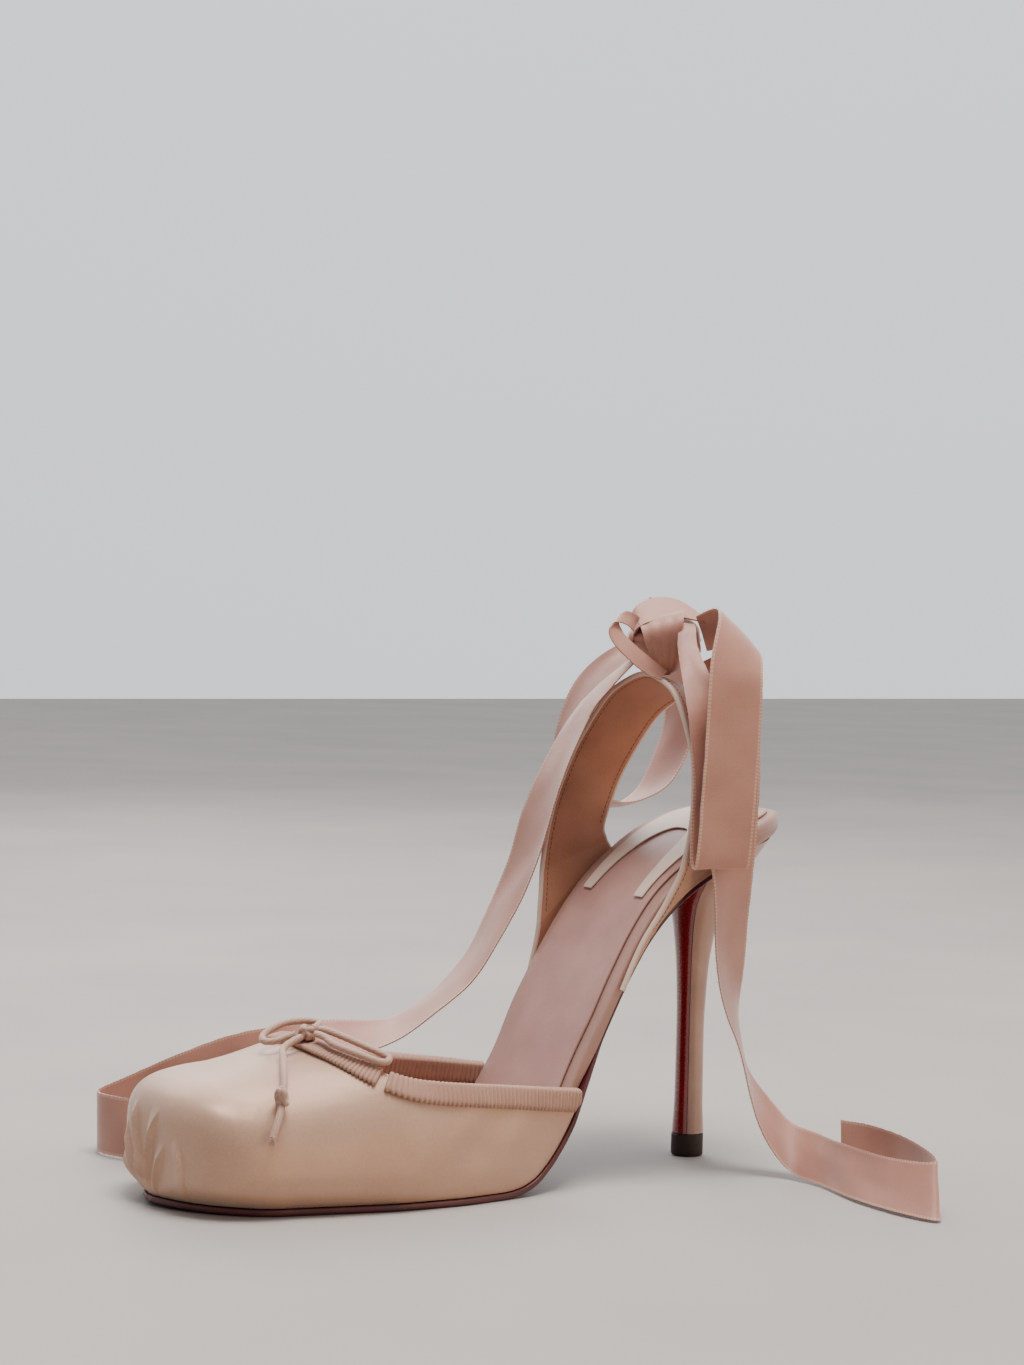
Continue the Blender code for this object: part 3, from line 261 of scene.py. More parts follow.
def cubic(rows, key, column):
    """Smooth function through a table's column that never overshoots its rows."""
    xs = np.array([row[key] for row in rows], float)
    ys = np.array([row[column] for row in rows], float)
    step = np.diff(xs)
    slope = np.diff(ys) / step
    grade = np.zeros(len(xs))
    for i in range(1, len(xs) - 1):
        if slope[i - 1] * slope[i] > 0.0:
            w1 = 2.0 * step[i] + step[i - 1]
            w2 = step[i] + 2.0 * step[i - 1]
            grade[i] = (w1 + w2) / (w1 / slope[i - 1] + w2 / slope[i])
    grade[0] = slope[0]
    grade[-1] = slope[-1]

    def value(x):
        x = min(max(float(x), xs[0]), xs[-1])
        i = min(int(np.searchsorted(xs, x, side="right")) - 1, len(step) - 1)
        t = (x - xs[i]) / step[i]
        a = (1.0 + 2.0 * t) * (1.0 - t) ** 2 * ys[i] + t * (1.0 - t) ** 2 * step[i] * grade[i]
        b = t * t * (3.0 - 2.0 * t) * ys[i + 1] - t * t * (1.0 - t) * step[i] * grade[i + 1]
        return a + b

    return value


def by_row(rows):
    """For each column of a table, a smooth function of the row's number."""
    numbered = [dict(row, k=i) for i, row in enumerate(rows)]
    return {c: cubic(numbered, "k", c) for c in rows[0]}


def unit_vector(v):
    return v / np.linalg.norm(v)


def run_along(line):
    """Distance from the start of a line to each of its points."""
    steps = np.linalg.norm(np.diff(line, axis=0), axis=1)
    return np.concatenate(([0.0], np.cumsum(steps)))


def along_curve(rows, column, size):
    share = cubic(rows, "along", column)
    return lambda x: size * share((x - TOE_X) / LENGTH)


bottom = along_curve(PROFILE, "rise", SEAT_RISE)
wide = along_curve(OUTLINE, "half", HALF)
shift = along_curve(OUTLINE, "shift", HALF)
ridge = along_curve(LAST, "ridge", SEAT_RISE)
side_height = along_curve(LAST, "side", SEAT_RISE)
tuck = along_curve(EDGES, "tuck", HALF)
board_inset = along_curve(EDGES, "board", HALF)
board_thick = along_curve(BOARD, "thick", SEAT_RISE)


NUDGE = 1e-4


def grade_at(x):
    return (bottom(x + NUDGE) - bottom(x - NUDGE)) / (2.0 * NUDGE)


def layer(x, lift):
    """Point at a distance lift square to the underside, from its station x."""
    grade = grade_at(x)
    size = math.hypot(1.0, grade)
    return x - grade / size * lift, bottom(x) + lift / size


def layer_height(x, lift):
    """Height of that layer straight above x."""
    foot = x
    for _ in range(8):
        foot += x - layer(foot, lift)[0]
    return layer(foot, lift)[1]


def toe_run(inset):
    """Run of the toe's foot, for an outline that is set in by inset at the sides."""
    return TOE_ROUND["run"] - TOE_ROUND["under"] - (inset - tuck(TOE_X))


def half_width(x, inset):
    """Half width of the outline at the foot, set in by inset at the sides."""
    half = wide(x) - inset
    if x < TOE_ROUND["start"]:
        run, square = toe_run(inset), TOE_ROUND["foot_square"]
        half *= max(0.0, 1.0 - ((TOE_ROUND["start"] - x) / run) ** square) ** (1.0 / square)
    start, run, square = SEAT_ROUND["start"], SEAT_ROUND["run"] - inset, SEAT_ROUND["square"]
    if x > start:
        half *= max(0.0, 1.0 - ((x - start) / run) ** square) ** (1.0 / square)
    return half


def stations(start, stop, count, ease_start, ease_stop):
    """Stations that crowd at a rounded end, which is the first or the last, never both."""
    out = []
    for i in range(count + 1):
        t = i / count
        if ease_start:
            t = 1.0 - math.cos(0.5 * math.pi * t)
        elif ease_stop:
            t = math.sin(0.5 * math.pi * t)
        out.append(start + (stop - start) * t)
    return out


def toe_stop(inset):
    """Front of an outline that is set in, just short of its vertex."""
    return TOE_ROUND["start"] - toe_run(inset) * VERTEX_SHORT


def seat_stop(inset):
    return SEAT_ROUND["start"] + (SEAT_ROUND["run"] - inset) * VERTEX_SHORT


BOARD_LOW = OUTSOLE_T + GAP


def board_top(x):
    return BOARD_LOW + board_thick(x)


def squareness(foot):
    """Exponent of the arch: boxy at the toe's front, rounder at the sides."""
    return ARCH_ROUND + ARCH_BOXY * math.sin(foot) ** 2


def unit(angle, power):
    """Point of a unit superellipse in the given direction."""
    c, s = abs(math.cos(angle)), abs(math.sin(angle))
    size = (c ** power + s ** power) ** (1.0 / power)
    return math.copysign(c, math.cos(angle)) / size, s / size


def foot_height(x):
    return layer_height(x, OUTSOLE_T + GAP)


def belly_height(x):
    """Height of the last's widest line."""
    base = foot_height(x)
    return base + BELLY * (side_height(x) - base)


def spoke(station, near, rise, inset):
    """Point of the upper. station: (x, foot angle), rise < 0 under the belly, then an angle."""
    x0, foot = station
    side = -1.0 if near else 1.0

    def rim(inward, front, level):
        if foot <= 0.0:
            return x0, wide(x0) - inward
        square = TOE_ROUND["square"]
        u, v = unit(foot, square + (TOE_ROUND["foot_square"] - square) * level)
        x = TOE_ROUND["start"] - (TOE_ROUND["run"] - front) * v
        return x, (wide(x) - inward) * u

    if rise < 0.0:
        level = (-rise) ** TUCK_POWER
        inward = tuck(rim(0.0, 0.0, 0.0)[0]) * level + inset
        x, half = rim(inward, TOE_ROUND["under"] * level + inset, level)
        z = foot_height(x) + (1.0 + rise) * (belly_height(x) - foot_height(x))
        return np.array((x, shift(x) + side * half, z))
    x_rim, half = rim(inset, inset, 0.0)
    x_end = x0 if foot <= 0.0 else crown(foot)
    u, v = unit(rise, squareness(foot))
    x = x_rim + (x_end - x_rim) * (1.0 - u)
    low = belly_height(x_rim)
    z = low + (ridge(x) - inset - low) * v
    return np.array((x, shift(x) + side * half * u, z))


def crown(foot):
    """Where a spoke from the toe's outline meets the ridge."""
    return TOE_ROUND["start"] - CROWN_BACK * TOE_ROUND["run"] * math.sin(foot) ** 2


def side_arch(x, rise, inset):
    """The arch square to the length, rise 0 at the near belly to pi at the far one."""
    near = rise <= 0.5 * math.pi
    angle = rise if near else math.pi - rise
    return spoke((x, 0.0), near, max(angle, 0.0), inset)


def side_share(x):
    """Topline's place on the arch at the side, as the share of the half width."""
    power = squareness(0.0)
    low = belly_height(x)
    v = min(max((side_height(x) - low) / (ridge(x) - low), 0.0), 0.999)
    return (1.0 - v ** power) ** (1.0 / power)


def topline(turn):
    """Topline station and arch angle. turn 0 at the near end, 0.5 at the throat, 1 at the far."""
    power = squareness(0.0)
    half = 0.5 - abs(turn - 0.5)
    if half < TOPLINE_SPLIT:
        x = QUARTER_END + (THROAT["start"] - QUARTER_END) * half / TOPLINE_SPLIT
        share = side_share(x)
    else:
        angle = 0.5 * math.pi * (half - TOPLINE_SPLIT) / (0.5 - TOPLINE_SPLIT)
        u, v = unit(angle, THROAT["square"])
        x = THROAT["start"] - (THROAT["start"] - THROAT["front"]) * v
        share = side_share(x) * max(u, 0.0)
    v = (1.0 - share ** power) ** (1.0 / power)
    rise = math.atan2(v, share)
    return x, rise if turn <= 0.5 else math.pi - rise


def surface(x, rise):
    """Middle of the wall, its outward normal and its two directions."""
    middle = 0.5 * WALL
    here = side_arch(x, rise, middle)
    du = (side_arch(x + 1e-4, rise, middle) - side_arch(x - 1e-4, rise, middle)) / 2e-4
    up = min(max(rise, 0.002), math.pi - 0.002)
    dv = (side_arch(x, up + 1e-3, middle) - side_arch(x, up - 1e-3, middle)) / 2e-3
    normal = unit_vector(np.cross(du, dv))
    out = here - np.array((x, shift(x), belly_height(x)))
    if normal.dot(out) < 0.0:
        normal = -normal
    return here, normal, du, dv


# Sizes that only the visual model has
RIBBON_SHOWN = 0.00045
RIB_FRONT = 0.0011
RIB_REAR = 0.0014
RIB_DEEP = 0.00034
PIPING_R = 0.00085
STITCH_PITCH = 0.0016
STITCH_LONG = 0.0010
THREAD_R = 0.00014
# Heel pad's front: how deep it is hollowed, and where its legs start as a share of half its width
PAD_HOLLOW = 0.0240
PAD_LEG = 0.72
# Half width that a layer keeps at its vertices
LEAST_HALF = 0.0006
# Points of the upper nearer than this become one
WELD = 2e-6

# Pleats of the toe, as lines on its front from the foot up: sideways shares of HALF (near side
# negative), heights as shares of SEAT_RISE. Each is a fold with its steep side to the near side.
PLEATS = table("y0 z0 y1 z1 y2 z2 deep",
    (0.130, 0.090, 0.235, 0.180, 0.295, 0.290, 0.0019),
    (0.050, 0.022, 0.165, 0.075, 0.235, 0.145, 0.0013),
    (0.000, 0.022, 0.040, 0.130, -0.090, 0.285, 0.0020),
    (-0.010, 0.030, -0.090, 0.095, -0.195, 0.190, 0.0019),
    (-0.300, 0.020, -0.400, 0.110, -0.320, 0.210, 0.0014),
    (0.090, 0.020, 0.330, 0.105, 0.480, 0.220, 0.0018),
    (0.120, 0.014, 0.420, 0.060, 0.640, 0.130, 0.0015))
PLEAT_STEEP = 0.0009
PLEAT_SOFT = 0.0040
PLEAT_STEPS = 16

# Counts of the upper's grid: columns along its side, throat, front and toe, rows under and
# over the widest line.
SIDE_COLUMNS = 56
THROAT_COLUMNS = 40
FRONT_COLUMNS = 26
TOE_COLUMNS = 128
UNDER_ROWS = 12
ARCH_ROWS = 72

# Soft creases of the satin: station share of LENGTH, arch share from the near belly (0) over
# the ridge (0.5), direction in degrees from the length, reach and width in metres, height
CREASES = table("along arch turn reach width high",
    (0.46, 0.12, 58, 0.016, 0.0045, -0.00045),
    (0.50, 0.14, 64, 0.013, 0.0040, 0.00040),
    (0.40, 0.10, 50, 0.014, 0.0050, 0.00035),
    (0.56, 0.13, 72, 0.012, 0.0038, -0.00035),
    (0.24, 0.40, 12, 0.020, 0.0060, -0.00030),
    (0.22, 0.60, -14, 0.018, 0.0060, -0.00030),
    (0.46, 0.88, -58, 0.016, 0.0045, -0.00045),
    (0.52, 0.86, -66, 0.013, 0.0040, 0.00040))

# Bands of the ribbon's knot: x, y, z in ribbon widths from KNOT, turn and lean of the direction
# across, wide = share of the ribbon's width, fold = height of its lengthwise folds in metres,
# where it has any
WRAP_FRONT = table("x y z turn lean wide fold",
    (-0.16, -0.26, -0.60, -32, 4, 0.14, 0.0000),
    (-0.32, -0.42, -0.32, -32, 8, 0.36, 0.0001),
    (-0.42, -0.52, 0.00, -32, 14, 0.58, 0.0001),
    (-0.42, -0.50, 0.24, -32, 16, 0.72, 0.0001),
    (-0.34, -0.32, 0.40, -32, 14, 0.76, 0.0001),
    (-0.14, 0.00, 0.46, -32, 4, 0.76, 0.0001),
    (0.04, 0.30, 0.40, -32, 0, 0.70, 0.0001),
    (0.16, 0.54, 0.10, -32, 0, 0.60, 0.0001),
    (0.14, 0.50, -0.34, -32, 0, 0.40, 0.0001))
WRAP_TOP = table("x y z turn lean wide",
    (-0.66, 0.10, 0.06, 58, 60, 0.44),
    (-0.66, 0.00, 0.32, 58, 42, 0.56),
    (-0.48, -0.04, 0.46, 58, 34, 0.66),
    (-0.20, -0.10, 0.54, 58, 32, 0.68),
    (0.06, -0.26, 0.54, 58, 30, 0.56),
    (0.26, -0.46, 0.44, 58, 24, 0.40),
    (0.38, -0.62, 0.34, 58, 10, 0.30))
WRAP_TIP = table("x y z turn lean wide",
    (-0.10, 0.24, 0.20, -32, 36, 0.34),
    (-0.24, 0.26, 0.44, -32, 40, 0.36),
    (-0.32, 0.26, 0.60, -32, 44, 0.36))
WRAP_CURL = table("x y z turn lean wide",
    (-0.58, -0.06, 0.16, 25, 30, 0.28),
    (-0.80, -0.14, 0.32, 25, 30, 0.32),
    (-1.04, -0.14, 0.38, 25, 30, 0.34),
    (-1.20, -0.16, 0.24, 25, 30, 0.34),
    (-1.16, -0.26, 0.02, 25, 30, 0.34),
    (-0.98, -0.38, -0.20, 25, 32, 0.34),
    (-0.70, -0.46, -0.42, 25, 34, 0.34),
    (-0.32, -0.42, -0.60, 25, 36, 0.24))


# Materials
def tree_of(name):
    """New material with its nodes, its links and its shader."""
    material = bpy.data.materials.new(name)
    material.use_nodes = True
    nodes = material.node_tree.nodes
    return material, nodes, material.node_tree.links, nodes["Principled BSDF"]


def linear(rgb):
    """Linear colour of sRGB values from 0 to 255."""
    out = []
    for c in rgb:
        c /= 255.0
        out.append(c / 12.92 if c <= 0.04045 else ((c + 0.055) / 1.055) ** 2.4)
    return (*out, 1.0)


def ramp(nodes, stops):
    node = nodes.new("ShaderNodeValToRGB")
    node.color_ramp.elements[0].position = stops[0][0]
    node.color_ramp.elements[0].color = stops[0][1]
    node.color_ramp.elements[1].position = stops[-1][0]
    node.color_ramp.elements[1].color = stops[-1][1]
    for place, colour in stops[1:-1]:
        node.color_ramp.elements.new(place).color = colour
    return node


def maths(nodes, links, operation, a, b=None, c=None):
    node = nodes.new("ShaderNodeMath")
    node.operation = operation
    for i, value in enumerate((a, b, c)):
        if value is None:
            continue
        if isinstance(value, (int, float)):
            node.inputs[i].default_value = value
        else:
            links.new(value, node.inputs[i])
    return node.outputs[0]


def noise_of(nodes, links, vector, scale, detail):
    """Output of a noise texture."""
    node = nodes.new("ShaderNodeTexNoise")
    node.inputs["Scale"].default_value = scale
    node.inputs["Detail"].default_value = detail
    links.new(vector, node.inputs["Vector"])
    return node.outputs[0]


def finish_shader(nodes, links, shader, colours, gloss, height, strength, deep):
    """Colour between two tones, roughness and bump. Returns the ramp."""
    tone, stops = colours
    mix = ramp(nodes, stops)
    links.new(tone, mix.inputs[0])
    links.new(mix.outputs[0], shader.inputs["Base Color"])
    links.new(gloss, shader.inputs["Roughness"])
    bump = nodes.new("ShaderNodeBump")
    bump.inputs["Strength"].default_value = strength
    bump.inputs["Distance"].default_value = deep
    links.new(height, bump.inputs["Height"])
    links.new(bump.outputs[0], shader.inputs["Normal"])
    return mix


def cloth_parts(name, pale, deep, rough, weave, sheen, twill=True, mottled=0.25, uv=False):
    """Fine woven satin: threads along two directions, a mottled tone, and soft wear in the gloss."""
    material, nodes, links, shader = tree_of(name)
    place = nodes.new("ShaderNodeTexCoord")
    out = place.outputs["UV" if uv else "Object"]
    scale = 1.0 if uv else 1000.0
    split = nodes.new("ShaderNodeSeparateXYZ")
    links.new(out, split.inputs[0])
    a = maths(nodes, links, "MULTIPLY", split.outputs[0], scale)
    along = split.outputs[1]
    if not uv:
        along = maths(nodes, links, "ADD", along, split.outputs[2])
    b = maths(nodes, links, "MULTIPLY", along, scale)
    diagonal = maths(nodes, links, "MULTIPLY_ADD", b, 0.35 if twill else 0.0, a)
    warp = maths(nodes, links, "SINE", maths(nodes, links, "MULTIPLY", diagonal, 6.28 / weave))
    weft = maths(nodes, links, "SINE", maths(nodes, links, "MULTIPLY", b, 6.28 / (1.7 * weave)))
    threads = maths(nodes, links, "MULTIPLY_ADD", weft, 0.45, warp)
    big = noise_of(nodes, links, out, 0.06 if uv else 55.0, 3.0)
    slub = noise_of(nodes, links, out, 1.6 if uv else 1500.0, 2.0)
    tone = maths(nodes, links, "MULTIPLY_ADD", big, mottled * 2.0, 0.5 - mottled)
    tone = maths(nodes, links, "MULTIPLY_ADD", slub, 0.22, tone)
    tone = maths(nodes, links, "MULTIPLY_ADD", threads, 0.05, tone)
    gloss = maths(nodes, links, "MULTIPLY_ADD", slub, 0.16, rough - 0.08)
    height = maths(nodes, links, "MULTIPLY_ADD", slub, 0.7, threads)
    stops = [(0.30, linear(deep)), (0.85, linear(pale))]
    mix = finish_shader(nodes, links, shader, (tone, stops), gloss, height, 0.35, 0.00003)
    shader.inputs["Sheen Weight"].default_value = sheen
    shader.inputs["Sheen Roughness"].default_value = 0.35
    shader.inputs["Specular IOR Level"].default_value = 0.45
    return material, nodes, links, shader, mix


def cloth(*values):
    return cloth_parts(*values)[0]


def leather(name, pale, deep, rough, grain, bump_deep, coat=0.0, coat_rough=0.1):
    """Leather: pebbled grain, pores, mottled tone and uneven gloss."""
    material, nodes, links, shader = tree_of(name)
    out = nodes.new("ShaderNodeTexCoord").outputs["Object"]
    cells = nodes.new("ShaderNodeTexVoronoi")
    cells.inputs["Scale"].default_value = 1.0 / grain
    links.new(out, cells.inputs["Vector"])
    fine = noise_of(nodes, links, out, 2.5 / grain, 4.0)
    big = noise_of(nodes, links, out, 60.0, 3.0)
    tone = maths(nodes, links, "MULTIPLY_ADD", big, 0.5, 0.1)
    tone = maths(nodes, links, "MULTIPLY_ADD", fine, 0.35, tone)
    gloss = maths(nodes, links, "MULTIPLY_ADD", fine, 0.24, rough - 0.12)
    height = maths(nodes, links, "MULTIPLY_ADD", fine, 0.6, cells.outputs["Distance"])
    stops = [(0.30, linear(deep)), (0.75, linear(pale))]
    finish_shader(nodes, links, shader, (tone, stops), gloss, height, 0.5, bump_deep)
    shader.inputs["Coat Weight"].default_value = coat
    shader.inputs["Coat Roughness"].default_value = coat_rough
    return material


def edged_ribbon(name, pale, deep, edge):
    """Ribbon: matte satin, with a paler woven edge and its stitches."""
    material, nodes, links, shader, mix = cloth_parts(name, pale, deep, 0.46, 0.30, 0.55, True,
                                                      0.22, True)
    place = nodes.new("ShaderNodeTexCoord")
    split = nodes.new("ShaderNodeSeparateXYZ")
    links.new(place.outputs["UV"], split.inputs[0])
    middle = 500.0 * RIBBON_W
    off = maths(nodes, links, "ABSOLUTE", maths(nodes, links, "SUBTRACT", split.outputs[0], middle))
    near_edge = maths(nodes, links, "GREATER_THAN", off, middle - 0.75)
    dash = maths(nodes, links, "SINE", maths(nodes, links, "MULTIPLY", split.outputs[1], 6.28 / 1.1))
    dash = maths(nodes, links, "MULTIPLY_ADD", dash, 0.25, 0.40)
    weight = maths(nodes, links, "MULTIPLY", near_edge, dash)
    blend = nodes.new("ShaderNodeMix")
    blend.data_type = "RGBA"
    links.new(weight, blend.inputs[0])
    links.new(mix.outputs[0], blend.inputs[6])
    blend.inputs[7].default_value = linear(edge)
    links.new(blend.outputs[2], shader.inputs["Base Color"])
    return material


SATIN = cloth("satin_shell", (212, 174, 150), (172, 130, 104), 0.36, 0.16, 0.30, True, 0.12)
for INPUT, VALUE in (("Metallic", 0.25), ("Anisotropic", 0.5)):
    SATIN.node_tree.nodes["Principled BSDF"].inputs[INPUT].default_value = VALUE
LINING = leather("lining_kid", (196, 160, 140), (160, 122, 100), 0.55, 0.0006, 0.00005)
INSOLE = cloth("insole_satin", (178, 136, 122), (144, 104, 92), 0.42, 0.16, 0.35, True, 0.12)
SOCK = leather("sock_kid", (186, 142, 130), (150, 106, 98), 0.46, 0.0007, 0.00005)
PAD = leather("pad_kid", (222, 198, 182), (190, 162, 146), 0.45, 0.0006, 0.00004)
SOLE = leather("sole_edge", (96, 30, 30), (52, 12, 14), 0.42, 0.0009, 0.00006, 0.25, 0.25)
GROSGRAIN = cloth("grosgrain_rib", (190, 146, 124), (134, 94, 78), 0.58, 0.22, 0.30, False, 0.20)
STRAP = cloth("strap_satin", (206, 160, 136), (164, 116, 92), 0.42, 0.18, 0.40, True, 0.16)
STRAP_IN = leather("strap_kid", (190, 132, 102), (146, 94, 70), 0.50, 0.0006, 0.00005)
PIPING = cloth("strap_piping", (222, 196, 180), (186, 152, 136), 0.50, 0.20, 0.30, False, 0.10)
THREAD = cloth("thread_dark", (128, 84, 64), (92, 58, 44), 0.60, 0.08, 0.20, False, 0.10)
HEEL_SKIN = leather("heel_kid", (198, 160, 142), (156, 120, 104), 0.36, 0.0005, 0.00003, 0.15, 0.3)
LACQUER = leather("wine_lacquer", (150, 2, 16), (118, 0, 8), 0.26, 0.0014, 0.00002, 1.0, 0.06)
RUBBER = leather("tip_rubber", (58, 38, 28), (34, 22, 16), 0.62, 0.0006, 0.00006)
RIBBON = edged_ribbon("ribbon_satin", (194, 140, 122), (150, 98, 82), (216, 174, 154))
CORD = cloth("cord_braid", (206, 170, 150), (146, 108, 92), 0.60, 0.35, 0.30, True, 0.20)


# Meshes
def mesh_object(name, points, faces, material, uv=None, smooth=50.0, second=None):
    """Object of a mesh. uv: one pair for each point. second: (material, its face numbers)."""
    mesh = bpy.data.meshes.new(name)
    mesh.from_pydata([tuple(map(float, p)) for p in points], [], faces)
    if uv is not None:
        layer_uv = mesh.uv_layers.new(name="UVMap")
        index = np.empty(len(mesh.loops), int)
        mesh.loops.foreach_get("vertex_index", index)
        layer_uv.data.foreach_set("uv", np.asarray(uv, float)[index].ravel())
    mesh.materials.append(material)
    if second is not None:
        mesh.materials.append(second[0])
        for i in second[1]:
            mesh.polygons[i].material_index = 1
    mesh.update()
    mesh.calc_loop_triangles()
    volume = 0.0
    for tri in mesh.loop_triangles:
        a, b, c = (mesh.vertices[i].co for i in tri.vertices)
        volume += a.dot(b.cross(c))
    if volume < 0.0:
        mesh.flip_normals()
    mesh.shade_smooth()
    mesh.set_sharp_from_angle(angle=math.radians(smooth))
    obj = bpy.data.objects.new(name, mesh)
    bpy.context.scene.collection.objects.link(obj)
    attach(obj, "root")
    return obj


def dress(obj, slot, *nodes):
    """Hides the CAD nodes that an object stands for and returns the object; slot is not used."""
    if nodes:
        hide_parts(*nodes)
    return obj


def tube_mesh(rings):
    """Points and faces through rings of equal count, with a cap at either end."""
    count, total = len(rings[0]), len(rings)
    points = [p for ring in rings for p in ring]
    faces = []
    for j in range(total - 1):
        for i in range(count):
            k = (i + 1) % count
            n = j + 1
            faces.append((j * count + i, j * count + k, n * count + k, n * count + i))
    faces.append(tuple(reversed(range(count))))
    faces.append(tuple((total - 1) * count + i for i in range(count)))
    return points, faces


def grid_normals(grid):
    a = np.gradient(grid, axis=0)
    b = np.gradient(grid, axis=1)
    n = np.cross(a, b)
    size = np.linalg.norm(n, axis=2, keepdims=True)
    return n / np.maximum(size, 1e-12)


def sheet_mesh(name, grid, thick, material, uv=None, second=None, smooth=60.0):
    """Solid sheet about a grid of points, thick all over, with the second material inside."""
    normal = grid_normals(grid)
    outer = grid + 0.5 * thick * normal
    inner = grid - 0.5 * thick * normal
    rows, cols = grid.shape[:2]
    points = np.concatenate((outer.reshape(-1, 3), inner.reshape(-1, 3)))
    base = rows * cols
    faces, inside = [], []
    for j in range(rows - 1):
        for i in range(cols - 1):
            a = j * cols + i
            faces.append((a, a + 1, a + cols + 1, a + cols))
            inside.append(len(faces))
            faces.append((base + a, base + a + cols, base + a + cols + 1, base + a + 1))
    rim = list(range(cols)) + [j * cols + cols - 1 for j in range(1, rows)]
    rim += [(rows - 1) * cols + i for i in range(cols - 2, -1, -1)]
    rim += [j * cols for j in range(rows - 2, 0, -1)]
    for k in range(len(rim)):
        a, b = rim[k], rim[(k + 1) % len(rim)]
        faces.append((b, a, base + a, base + b))
    if uv is not None:
        uv = np.concatenate((uv.reshape(-1, 2), uv.reshape(-1, 2)))
    return mesh_object(name, points, faces, material, uv, smooth,
                       None if second is None else (second, inside))


def smooth_row(count, rows):
    """Weights of a smooth curve through rows: first row of four, and the weights."""
    out = []
    for j in range(count + 1):
        t = j * (rows - 1) / count
        i = min(int(t), rows - 2)
        f = t - i
        w = np.array((-f + 2 * f * f - f ** 3, 2 - 5 * f * f + 3 * f ** 3,
                      f + 4 * f * f - 3 * f ** 3, -f * f + f ** 3)) * 0.5
        out.append(([max(i - 1, 0), i, i + 1, min(i + 2, rows - 1)], w))
    return out


def swell(point, size, seed):
    """Smooth noise with waves of about the given size."""
    return noise.noise(Vector((point[0] / size + seed, point[1] / size, point[2] / size)))


# Sole
def slab_mesh(name, xs, low, high, inset, low_round, high_round, material):
    """Layer between two lifts over the underside, with rounded long edges."""
    quarter = [0.5 * math.pi * i / 4.0 for i in range(5)]
    rings = []
    for x in xs:
        lo, hi = low(x), high(x)
        rl = min(low_round(x), 0.45 * (hi - lo))
        rh = min(high_round(x), 0.45 * (hi - lo))
        edge = [(lo + rl * (1.0 - math.cos(a)), rl * (1.0 - math.sin(a))) for a in quarter]
        edge += [(hi - rh + rh * math.sin(a), rh * (1.0 - math.cos(a))) for a in quarter]
        left, right = [], []
        for lift, back in edge:
            px, pz = layer(x, lift)
            half = max(half_width(px, inset(px) + back), LEAST_HALF)
            left.append((px, shift(px) - half, pz))
            right.append((px, shift(px) + half, pz))
        top = []
        half = abs(left[-1][1] - right[-1][1]) / 2.0
        for i in range(1, 12):
            s = -1.0 + 2.0 * i / 12.0
            px, pz = layer(x, hi)
            top.append((px, shift(px) + half * s, pz))
        rings.append(left + top + right[::-1])
    points, faces = tube_mesh(rings)
    return mesh_object(name, points, faces, material, smooth=40.0)


def board_stations(front, back):
    """Stations of the insole and of the sock, close at either rounded end."""
    xs = stations(front, MIDDLE, 40, True, False)
    xs += stations(MIDDLE, SEAT, 110, False, False)[1:]
    return xs + stations(SEAT, back, 30, False, True)[1:]


def heel_pad_grid(rows, cols):
    """Middle surface of the heel pad, its front hollowed between two legs."""
    lift = GAP + SOCK_T + GAP + 0.5 * PAD_T
    grid = np.zeros((rows + 1, cols + 1, 3))
    back = seat_stop(PAD_IN + 0.0035)
    for i in range(cols + 1):
        s = -1.0 + 2.0 * i / cols
        front = PAD_FRONT + PAD_HOLLOW * max(0.0, 1.0 - (abs(s) / PAD_LEG) ** 3)
        for j in range(rows + 1):
            x = front + (back - front) * math.sin(0.5 * math.pi * j / rows)
            px, pz = layer(x, board_top(x) + lift)
            grid[j, i] = (px, shift(px) + max(half_width(px, PAD_IN), LEAST_HALF) * s, pz)
    return grid


def build_sole():
    inset = tuck(TOE_X) - FOOT_LAP
    xs = stations(toe_stop(inset), 0.0, 60, True, False)
    xs += stations(0.0, OUTSOLE_END, 120, False, False)[1:]

    def sole_edge(x):
        behind_root = max(0.0, min(1.0, (x - at(0.5958)) / (0.0561 * LENGTH)))
        return tuck(x) - FOOT_LAP + (STRAP_T + 0.0010) * behind_root

    obj = slab_mesh("shown_outsole", xs, lambda x: 0.0, lambda x: OUTSOLE_T, sole_edge,
                    lambda x: 0.0006, lambda x: 0.0003, SOLE)
    dress(obj, "sole_leather", "outsole")

    xs = board_stations(toe_stop(board_inset(TOE_X)), seat_stop(board_inset(at(1.0)) + 0.0030))

    def behind(x, along):
        return max(0.0, min(1.0, (x - at(along)) / (0.14 * LENGTH)))

    obj = slab_mesh("shown_insole", xs, lambda x: BOARD_LOW, board_top, board_inset,
                    lambda x: 0.0004 + 0.0030 * behind(x, 0.7313),
                    lambda x: 0.0008 + 0.0010 * behind(x, 0.6612), INSOLE)
    dress(obj, "insole_satin", "insole")

    xs = board_stations(toe_stop(board_inset(TOE_X) + SOCK_IN), seat_stop(SOCK_IN + 0.0016))
    obj = slab_mesh("shown_sock", xs, lambda x: board_top(x) + GAP,
                    lambda x: board_top(x) + GAP + SOCK_T,
                    lambda x: board_inset(x) + SOCK_IN - 0.0010 * behind(x, 0.7547),
                    lambda x: 0.0001, lambda x: 0.0003, SOCK)
    dress(obj, "sock_leather", "sock")

    obj = sheet_mesh("shown_heel_pad", heel_pad_grid(60, 96), PAD_T, PAD)
    dress(obj, "pad_leather", "heel_pad")


